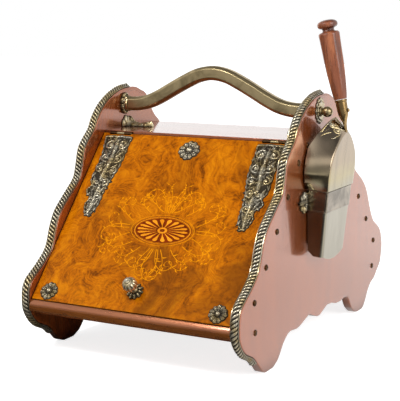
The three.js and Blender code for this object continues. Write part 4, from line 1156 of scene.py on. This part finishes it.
def make_bracket(side, sign):
    """A leaf-shaped foot that runs in over the top board, and an upright shell against the side."""
    t = np.linspace(0, 1, 70)[:, None]
    u = np.linspace(-1, 1, 33)[None]
    crest = np.interp(t, [0, 0.07, 0.2, 0.45, 0.72, 0.9, 0.97, 1], [16, 15, 8, 5, 7, 8.6, 7, 0.3])
    lobe = np.cos(2 * np.pi * 4 * t)
    width = (12.2 - 4.2 * t**1.5) * (0.86 + 0.14 * lobe) * fade(t, 1.02, -0.12) ** 0.5
    fold = (1 - np.abs(u) ** 2.4) * (0.8 + 0.2 * np.cos(3 * np.pi * u)) + 0.02
    foot = to_row(stack(sign * (INNER - 0.4 - 43.4 * t), -0.5 + width * u, BOARD_TOP + crest * fold))
    # Relief share for painted light: the leaf's raised fold gets painted highlights, its sides painted shade,
    # and the shell the same by its rise.
    foot_relief = np.broadcast_to(0.3 + 0.7 * fold * (0.85 + 0.15 * lobe), foot.shape[:2])
    share = np.linspace(0, 1, 24)[:, None]
    turn = np.linspace(0, np.pi, 61)[None]
    petal = np.abs(np.cos(3.5 * turn)) ** 0.6
    thick = 1.9
    rise = thick * np.sin(np.pi * np.clip(share, 0, 0.97)) ** 0.5 * (0.5 + 0.5 * petal)
    shell = to_row(stack(sign * (INNER - 0.4 - rise), -12 + 15 * share * (0.9 + 0.1 * petal) * np.cos(turn),
                         BOARD_TOP + 0.05 + 18.6 * share * (0.88 + 0.12 * petal) * np.sin(turn)))
    faces = [quads(*foot.shape[:2]), quads(*shell.shape[:2]) + foot_relief.size]
    points = np.concatenate([foot.reshape(-1, 3), shell.reshape(-1, 3)])
    return piece(f"{side}_bracket", points, [f[:, ::-sign] for f in faces], "root", "cast_mounts",
                 [f"handle_bracket_{side}"], sharp=70, relief=np.append(foot_relief, rise / thick))


for side, sign in SIDES:
    make_bracket(side, sign)
print("brackets made")


# %% [markdown]
# ## The shovel
# The shovel hangs blade down in the strap on the right side. Its pan is a sheet of brass folded to a
# shallow tray, and a hood raised from a second sheet closes the upper end. The hood's flat face is bounded
# by an arch, and its wall flares back from there to a wider arch beside the panel.

# %% The pan
PAN_LOW, PAN_TOP, PAN_SHEET = -83.0, 26.0, 1.5


def pan_half(z):
    """Half the pan's width at height z: 42 mm at the lip and 47.5 mm at the top."""
    return 42 + 5.5 * (z - PAN_LOW) / (PAN_TOP - PAN_LOW)


def panel_x(z, gap):
    """Where the upright panel lies in the leaning frame, `gap` millimetres off it."""
    return (gap - STAND_OFF - z * math.sin(LEAN)) / math.cos(LEAN)


def make_pan():
    """A fold down each side: walls, round corners and a face whose lower lip bulges as a parabola."""
    wall = np.linspace(1, 0, 12, endpoint=False)
    turn = np.linspace(0, np.pi / 2, 7)
    face = np.linspace(-1, 1, 41)[1:-1]
    n, m = len(wall), len(wall) + len(turn)
    wall_low = np.interp(-28 * wall, [-28, -19.6, -16, -11, 0], [-76, -80.5, PAN_LOW, PAN_LOW, PAN_LOW])
    fold_low = np.full(len(turn), PAN_LOW)
    low = np.concatenate([wall_low, fold_low, PAN_LOW - 8 * (1 - face**2), fold_low, wall_low[::-1]])
    z = low + np.linspace(0, 1, 60)[:, None] * (PAN_TOP - low)
    half, radius = pan_half(z), 3.0
    depth = panel_x(z, 2.5) + radius
    x, y = np.zeros_like(z), np.empty_like(z)
    x[:, :n], x[:, -n:] = -radius + wall * depth[:, :n], -radius + wall[::-1] * depth[:, -n:]
    y[:, :n], y[:, -n:] = -half[:, :n], half[:, -n:]
    x[:, n:m], x[:, -m:-n] = -radius + radius * np.sin(turn), -radius + radius * np.sin(turn[::-1])
    y[:, n:m] = -half[:, n:m] + radius * (1 - np.cos(turn))
    y[:, -m:-n] = half[:, -m:-n] - radius * (1 - np.cos(turn[::-1]))
    y[:, m:-m] = face * (half[:, m:-m] - radius)
    surface = sheet(on_shovel(x, y, z)[:, ::-1], PAN_SHEET)
    return closed_piece("folded_pan", surface, "shovel", "pan_brass", "shovel_pan", sharp=35)


tell(make_pan())

# %% The hood
HOOD_FRONT = 1.95
HOOD_FACE = [[50, 17], [51, 31], [51.5, 43], [49, 58], [41, 72], [26, 87], [13, 95.5], [0, 99]]
HOOD_EDGE = [[50, 17], [58.5, 28], [61, 42], [57.5, 57], [50, 72], [37, 100], [22, 123], [0, 135]]


def arch(half, count=121):
    """Both halves of an arch as one smooth curve, (across, up)."""
    p = np.array(half, float)
    return through(np.concatenate([p * [-1, 1], p[-2::-1]]), count)


def beyond_mouth(x, z):
    """How far outside the sloping mouth a point is: positive where metal stays."""
    out = STAND_OFF + x * math.cos(LEAN) + z * math.sin(LEAN)
    up = z * math.cos(LEAN) - x * math.sin(LEAN)
    return out - (2 + (up - 79) * 22 / 40)


def hood_wall(t):
    """Points of the hood's wall: t runs from the face's arch (0) to the panel's arch or the mouth (1)."""
    face, edge = arch(HOOD_FACE), arch(HOOD_EDGE)
    back = panel_x(edge[:, 1], 2.7)
    keep_face, keep_back = beyond_mouth(HOOD_FRONT, face[:, 1]), beyond_mouth(back, edge[:, 1])
    share = np.where(keep_back < 0, keep_face / np.maximum(keep_face - keep_back, 1e-6), 1.0)
    s = t[:, None] * np.clip(share, 0, 1)
    swell = 1.7 * np.sin(np.pi * np.clip(s, 0, 1)) * fade(face[:, 1], 20, 20)
    aside = np.sign(face[:, 0]) * fade(np.abs(face[:, 0]), 0, 30)
    across = face[:, 0] + (edge[:, 0] - face[:, 0]) * s + swell * aside
    up = face[:, 1] + (edge[:, 1] - face[:, 1]) * s + swell * fade(face[:, 1], 50, 50)
    return HOOD_FRONT + (back - HOOD_FRONT) * s, across, up


def make_hood():
    """Face and wall in one sheet, with the arris between them rounded by easing the wall's first steps."""
    t = np.concatenate([[0.0, 0.012, 0.03, 0.055], np.linspace(0.09, 1, 26)])
    x, across, up = hood_wall(t)
    face = arch(HOOD_FACE)
    share = np.concatenate([np.linspace(0.002, 0.9, 16), [0.94, 0.965, 0.985]])[:, None]
    fy = face[:, 0] * share
    fx, fz = np.full(fy.shape, HOOD_FRONT), np.broadcast_to(face[:, 1], fy.shape)
    fx[-3:] -= np.array([[0.03], [0.12], [0.3]])
    x[:3] -= np.array([[0.55], [0.264], [0.088]])
    grid = on_shovel(np.concatenate([fx, x]), np.concatenate([fy, across]), np.concatenate([fz, up]))
    surface = sheet(grid[:, ::-1], PAN_SHEET)
    return closed_piece("raised_hood", surface, "shovel", "pan_brass", "shovel_hood", sharp=40)


tell(make_hood())


# %% The hood's leaf
def make_hood_leaf():
    """A cast leaf that wraps the hood's top shoulder: relief strokes laid over the wall's own grid."""
    t = np.linspace(0.03, 0.99, 70)
    x, across, up = hood_wall(t)
    columns = np.linspace(41, 79, 130)
    low = columns.astype(int)
    part = columns - low
    pick = lambda a: a[:, low] * (1 - part) + a[:, low + 1] * part
    base = on_shovel(pick(x), pick(across), pick(up))
    u, v = np.meshgrid((columns - 60) * 1.9, t * 27, indexing="xy")
    strokes = [
        spiral(-17, 9, 7.0, 0.4, 1.3, 2.0, 2.4), spiral(17, 9, 7.0, 2.7, -1.3, 2.3, 2.4),
        spiral(-15, 20, 5.4, -0.4, -1.2, 2.0, 2.2), spiral(15, 20, 5.4, 3.5, 1.2, 2.0, 2.2),
        leaf(0, 1, 1.57, 25, 5.2, 2.6, 0.0, 4), leaf(-5, 3, 2.5, 20, 4.0, 2.3, -0.5, 4),
        leaf(5, 3, 0.64, 20, 4.0, 2.3, 0.5, 4), line([(-30, 25), (0, 26), (30, 25)], 1.8, 1.8, 18, 110),
        leaf(-22, 4, 2.9, 12, 3.0, 2.0, -0.3, 3), leaf(22, 4, 0.25, 12, 3.0, 2.0, 0.3, 3),
        leaf(-9, 14, 2.3, 12, 3.0, 2.0, 0.4, 3), leaf(9, 14, 0.85, 12, 3.0, 2.0, -0.4, 3),
        leaf(-26, 14, 2.2, 12, 3.0, 2.0, 0.4, 3), leaf(26, 14, 0.9, 12, 3.0, 2.0, -0.4, 3),
    ] + foliage([(2, -31, 31), (25, -31, 31)], 70, 5, 1.6, 2.0)
    rim = 26.5 - 3.2 * np.abs(np.sin(u / 5.2)) - 5 * (np.abs(u) / 34) ** 3
    high = np.maximum(height_of(u, v, strokes), 0.7 * ((v < rim) & (np.abs(u) < 33) & (v > 1.2)))
    way = -normals(base)
    way *= np.sign((way * (base - on_shovel(-20.0, 0.0, 60.0))).sum(-1, keepdims=True).mean())
    grid = base + way * ((high + 0.15) * MM)[..., None]
    used, faces = cast_faces(high)
    # Relief share for painted light: the leaves' tops get painted highlights, the plate behind them painted
    # shade.
    return piece("hood_leaf", grid.reshape(-1, 3)[used], faces, "shovel", "cast_mounts", sharp=75,
                 relief=(0.3 + 0.6 * high / high.max()).ravel()[used])


tell(make_hood_leaf())

# %% [markdown]
# ## The shovel's handle
# A golden brass socket grows out of the hood as a flattened tongue and swells to a round cup. The rosewood
# grip, shaved to eight soft facets, is held in it by a rivet and ends in a neck and a button.

# %% Socket, grip, button and rivet
def make_socket():
    """A turned cup whose lower part is pressed flat: the depth shrinks towards the tongue's tip."""
    profile = [[0.4, -12], [2.4, -11.4], [3.6, -7], [4.5, -1], [5.6, 5], [6.9, 12], [7.9, 20], [8.3, 28],
               [8.4, 33.4], [9.1, 34], [9.2, 35.4], [9.1, 36.8], [8.2, 37]]
    x, y, z = turned(profile, 72, count=70)
    flat = np.clip((z + 12) / 26, 0.45, 1)
    wide = 1 + 0.22 * fade(z, 6, -12)
    return closed_piece("brass_socket", skin(on_grip(x * flat, y * wide, z)), "shovel", "handle_brass",
                        "shovel_socket", "socket_brass", 50)


def make_grip():
    """Eight facets: the radius is the flat's distance over the cosine, blended with a circle at the ends."""
    profile = through([[8.8, 37.35], [9.4, 38.2], [9.8, 40], [11.6, 51], [13.4, 70], [14.5, 86], [15.1, 110],
                       [15.7, 128], [15.8, 131.4], [15.3, 134.2], [13.6, 136.2], [11.0, 137]], 110)
    turn = circle(128)
    corner = np.mod(turn, np.pi / 4) - np.pi / 8
    facet = np.minimum(np.cos(np.pi / 8) / np.cos(corner) * 1.035, 1.0)
    up = profile[:, 1:]
    radius = profile[:, :1] * (1 + (facet - 1) * fade(up, 40, 12) * fade(up, 134, -4))
    rings = on_grip(radius * np.cos(turn), radius * np.sin(turn), up)
    return closed_piece("rosewood_grip", skin(rings), "shovel", "rosewood", "shovel_grip", sharp=50)


def make_button():
    """A turned button on the grip's neck."""
    x, y, z = turned([[9.4, 137.35], [8.7, 138.6], [8.5, 140.2], [9.6, 142], [12.7, 143.2], [14.6, 145.4],
                      [14.8, 148], [14.0, 150.4], [11.4, 152.6], [6.2, 154.2], [0.2, 154.5]], 72, count=60)
    return closed_piece("grip_button", skin(on_grip(x, y, z)), "shovel", "rosewood", "shovel_finial", sharp=50)


def make_rivet():
    """A pin through the socket, turned about the grip's x, with a domed head."""
    x, y, z = turned([[1.4, -7.4], [1.4, 8.6], [2.9, 8.7], [2.8, 9.5], [2.0, 10.2], [0.2, 10.5]], 32)
    return closed_piece("grip_rivet", skin(on_grip(z, y, x + 20)), "shovel", "handle_brass", "shovel_rivet",
                        "socket_brass", 50)


tell(make_socket(), make_grip(), make_button(), make_rivet())


# %% [markdown]
# ## The strap that holds the shovel
# A band of dark brass passes round the pan and ends on two scrolled feet on the side. The band has a thin
# bead along each edge, and the feet are castings of paired volutes and a leaf.

# %% Band and feet
BAND_HALF = pan_half(16.0) + 0.6 + 1.6


def make_band():
    """A sheet round three sides of the pan: straight runs and quarter circles, with a bead at each edge."""
    half, radius, front = BAND_HALF, 3.2, 2.2
    wall = np.linspace(1, 0, 14, endpoint=False)
    turn = np.linspace(0, np.pi / 2, 9)
    rise = np.linspace(-1, 1, 41)[:, None]
    edge = fade(np.abs(rise), 0.86, 0.03) * fade(np.abs(rise), 1.0, -0.03)
    z = 15.8 * rise
    back = panel_x(z, 0.9)
    x_wall = front - radius + wall * (back - front + radius)
    y_wall = np.full_like(x_wall, half)
    x_turn = np.broadcast_to(front - radius + radius * np.sin(turn), (41, 9))
    y_turn = np.broadcast_to(half - radius + radius * np.cos(turn), (41, 9))
    face = np.broadcast_to(np.linspace(half - radius, radius - half, 31)[1:-1], (41, 29))
    x = np.concatenate([x_wall, x_turn, np.full_like(face, front), x_turn[:, ::-1], x_wall[:, ::-1]], 1)
    y = np.concatenate([y_wall, y_turn, face, -y_turn[:, ::-1], -y_wall[:, ::-1]], 1)
    grid = on_shovel(x, y, z + 0 * x)
    way = normals(grid)
    way *= np.sign((way * (grid - on_shovel(-15.0, 0.0, 0.0))).sum(-1).mean())
    grid = grid - way * (0.35 * (1 - edge) * MM)[..., None]
    flip = (normals(grid) * way).sum(-1).mean() < 0
    surface = sheet(grid[:, ::-1] if flip else grid, 1.15)
    return closed_piece("shovel_band", surface, "root", "strap_brass", "shovel_strap", sharp=35)


def foot_strokes():
    """Two volutes above and below a leaf that points away from the band, all joined by a rib."""
    return [
        line([(1.6, 12), (1.6, -12)], 2.2, 3.4, 6, 60), spiral(9.5, 8.6, 6.4, 3.6, -1.35, 2.3, 4.6),
        spiral(9.0, -9.0, 6.4, 2.6, 1.35, 2.3, 4.6), leaf(2, 0, 0.0, 26, 5.2, 5.0, 0.0, 5),
        spiral(19, 6.8, 4.4, 3.4, -1.2, 1.8, 3.8), spiral(18, -6.6, 4.2, 2.8, 1.2, 1.8, 3.8),
        leaf(4, 4, 0.8, 13, 2.8, 3.8, 0.4, 3), leaf(4, -4, -0.8, 13, 2.8, 3.8, -0.4, 3),
    ]


tell(make_band())
u, v = np.meshgrid(np.linspace(-0.4, 28.6, 72), np.linspace(-15.8, 15.8, 78), indexing="xy")
foot_high = height_of(u, v, foot_strokes())
near = BAND_HALF + 0.4
for name, sign in (("front", -1), ("back", 1)):
    place = lambda a, b, h, s=sign: to_row(stack(OUTER + 0.45 + h, s * (near + a) + SHOVEL[1], SHOVEL[2] + b))
    tell(casting(f"{name}_scroll_foot", u, v, foot_high, place, "root", f"strap_scroll_{name}"))

# %% [markdown]
# ## The screws
# Twelve domed screws on each side hold the boards between the panels. Each dome is a low turned cap whose
# slot is pressed in: the height drops along a band across the middle.

# %% Twenty-four screw heads
SCREWS = [(-58.5, 302.5), (-91.4, 280.7), (-128.1, 236.8), (-164.4, 193.4), (-199.6, 149.9), (-235.9, 108.4),
          (-232.9, 66.4), (127.6, 239.9), (161.2, 196.7), (200.5, 153.2), (239.4, 109.7), (235.6, 65.8)]


SCREW_RADIUS, SCREW_RISE, SLOT_DEEP = 4.5, 2.4, 0.9


def make_screw(name, sign, y, z, slot_turn):
    """A low dome with a slot about 1.2 mm wide at its own angle."""
    share = np.concatenate([np.linspace(0.02, 0.9, 14), [0.96, 1.0]])[:, None]
    turn = circle(48)[None]
    a, b = SCREW_RADIUS * share * np.cos(turn), SCREW_RADIUS * share * np.sin(turn)
    across = np.abs(a * math.sin(slot_turn) - b * math.cos(slot_turn))
    cut = fade(across, 0.75, -0.3)
    out = np.maximum(SCREW_RISE * np.sqrt(np.clip(1 - share**2, 0, 1)) - SLOT_DEEP * cut, 0) + 0.05
    grid = along_x(out, a, b, sign, OUTER, (y, z))
    return piece(name, grid.reshape(-1, 3), [quads(*grid.shape[:2], True)[:, ::sign]], "root", "cast_mounts",
                 finish="screw_brass", sharp=60, relief=(1 - 0.9 * cut).ravel())


for side, sign in SIDES:
    for k, (y, z) in enumerate(SCREWS):
        make_screw(f"{side}_screw_{k + 1:02d}", sign, y, z, 1.9 * k + sign)
print("screws:", sum(1 for o, f in MADE if "screw" in o.name))

# %% [markdown]
# ## Finishes
# New pieces take the material named with them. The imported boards, the lid, the hinges and the liner keep
# their shapes, and get the material of their slot, with the grain turned to run along each board.

# %% Giving every piece its material
KEPT = {
    "top_board": "walnut_across", "back_board": "walnut_across", "bottom_board": "walnut_across",
    "lid_batten_left": "walnut", "lid_batten_right": "walnut", "lid": "burr_walnut",
    "hinge_lid_leaf_left": "handle_brass", "hinge_lid_leaf_right": "handle_brass",
    "hinge_board_leaf_left": "screw_brass", "hinge_board_leaf_right": "screw_brass",
    "hinge_pin_left": "steel", "hinge_pin_right": "steel", "coal_liner": "liner_sheet", "liner_handle": "steel",
}
for obj, finish in MADE + [(NODES[name], finish) for name, finish in KEPT.items()]:
    obj.data.materials.clear()
    obj.data.materials.append(MATERIALS[finish])
print("finished pieces:", len(MADE) + len(KEPT))

# %% [markdown]
# ## Floor and light
# The scuttle stands on a plain pale floor in a white studio. A large soft light above and in front shows
# the lid, a small one beside it gives the brass its sparks, and a weaker one fills the shovel's side. Polish
# and brass show what lies around them, so the floor glows to reflections only, as a painted reflection of a
# ground that is bright behind the scuttle, dark in front of it and dark under it as a painted shadow, and the
# world shows reflections a bright back and a dark front. The camera sees them white.

# %% The stage
REFLECTED = 1.4
WHITE = (1.0, 1.0, 1.0, 1.0)


def soft_light(name, spot, target, size, power):
    """A square lamp that faces `target`."""
    lamp = bpy.data.lights.new(name, "AREA")
    lamp.size = size
    lamp.energy = power
    obj = bpy.data.objects.new(name, lamp)
    bpy.context.scene.collection.objects.link(obj)
    way = np.array(target, float) - np.array(spot, float)
    flat = math.hypot(way[0], way[1])
    obj.location = spot
    obj.rotation_euler = (math.atan2(flat, -way[2]), 0.0, math.atan2(way[1], way[0]) - math.pi / 2)
    return obj


floor_mesh = bpy.data.meshes.new("floor")
floor_mesh.from_pydata([(-9, -9, 0), (9, -9, 0), (9, 9, 0), (-9, 9, 0)], [], [(0, 1, 2, 3)])
floor = bpy.data.objects.new("floor", floor_mesh)
bpy.context.scene.collection.objects.link(floor)
tree, shader, where = start("floor")
tone = mix(tree, noise(tree, where, 3.0, 2.0), colour(250, 250, 250), colour(254, 254, 254))
ray = node(tree, "ShaderNodeLightPath").outputs
glossy = ray["Is Glossy Ray"]
aside, way_back = axes(tree, where)["X"], axes(tree, where)["Y"]
far = vector(tree, "LENGTH", where, result="Value")
# Painted reflection: to glossy rays the floor glows, bright behind the scuttle and dark in front of it, and the
# glow is cut off over the scuttle's footprint as a painted shadow.
clear = calc(tree, "MAXIMUM", between(tree, aside, 0.1, 0.19), between(tree, way_back, 0.7, 1.1))
behind = times(tree, between(tree, way_back, -0.5, -0.15, 0.02, REFLECTED), clear)
ahead = between(tree, way_back, -1.9, -1.2, 0.7, 0.0)
behind = times(tree, behind, between(tree, far, 0.3, 1.0, 0.84, 1.0))
seen = times(tree, glossy, calc(tree, "ADD", behind, ahead))
glow = calc(tree, "MULTIPLY_ADD", ray["Is Camera Ray"], between(tree, far, 0.35, 1.2, 0.8, 1.1), seen)
# To glossy rays the floor's own colour is nearly black, so reflections show only the painted glow.
kept = calc(tree, "SUBTRACT", 1.0, times(tree, glossy, 0.96))
plug(tree, shader, Base_Color=mix(tree, kept, (0, 0, 0, 1), tone), Roughness=0.8, Specular_IOR_Level=0.0,
     Emission_Color=WHITE, Emission_Strength=glow)
floor_mesh.materials.append(MATERIALS["floor"])

soft_light("key", (0.6, -1.5, 1.9), (0.0, 0.0, 0.15), 0.9, 22.0).visible_glossy = False
soft_light("spark", (-0.5, -1.3, 1.5), (0.0, -0.1, 0.2), 0.35, 10.0)
soft_light("fill", (1.6, -0.5, 0.9), (0.0, 0.0, 0.2), 0.9, 12.0)
world = bpy.data.worlds.new("studio")
bpy.context.scene.world = world
world.use_nodes = True
tree = world.node_tree
sky = axes(tree, node(tree, "ShaderNodeTexCoord").outputs["Generated"])
ray = node(tree, "ShaderNodeLightPath").outputs
back = between(tree, sky["Y"], -0.25, 0.45, 0.42, 1.12)
band = times(tree, between(tree, sky["Z"], 0.2, 0.5), between(tree, sky["Y"], 0.1, -0.3, 0.0, 0.7))
back = times(tree, calc(tree, "ADD", back, band), between(tree, sky["Z"], 0.62, 0.84, 1.0, 0.16))
plain = calc(tree, "MULTIPLY_ADD", ray["Is Camera Ray"], 0.69, 0.31)
others = times(tree, calc(tree, "SUBTRACT", 1.0, ray["Is Glossy Ray"]), plain)
level = calc(tree, "ADD", times(tree, ray["Is Glossy Ray"], back), others)
plug(tree, tree.nodes["Background"], Strength=level, Color=WHITE)
print("stage set")

# %% [markdown]
# ## The camera
# The camera was solved from the lid's corners, the feet and the screws: it stands 1.75 m away, a little
# above the handle, looks down by nine and a half degrees, and sees the right side at an angle of 28.

# %% Camera
SENSOR = 36.0
FOCAL_PIXELS, IMAGE_WIDTH = 1121.4, 400
CAMERA_AT = (793.8, -1559.2, 490.2)
LOOKS_DOWN, FROM_THE_RIGHT = 9.43, 27.93
lens = bpy.data.cameras.new("camera")
lens.sensor_fit = "HORIZONTAL"
lens.sensor_width = SENSOR
lens.lens = FOCAL_PIXELS / IMAGE_WIDTH * SENSOR
camera = bpy.data.objects.new("camera", lens)
bpy.context.scene.collection.objects.link(camera)
camera.location = tuple(to_row(CAMERA_AT))
camera.rotation_euler = (math.radians(90 - LOOKS_DOWN), 0.0, math.radians(FROM_THE_RIGHT))
bpy.context.scene.camera = camera
bpy.context.scene.view_settings.view_transform = "Standard"
print("camera at", tuple(round(v, 4) for v in camera.location))
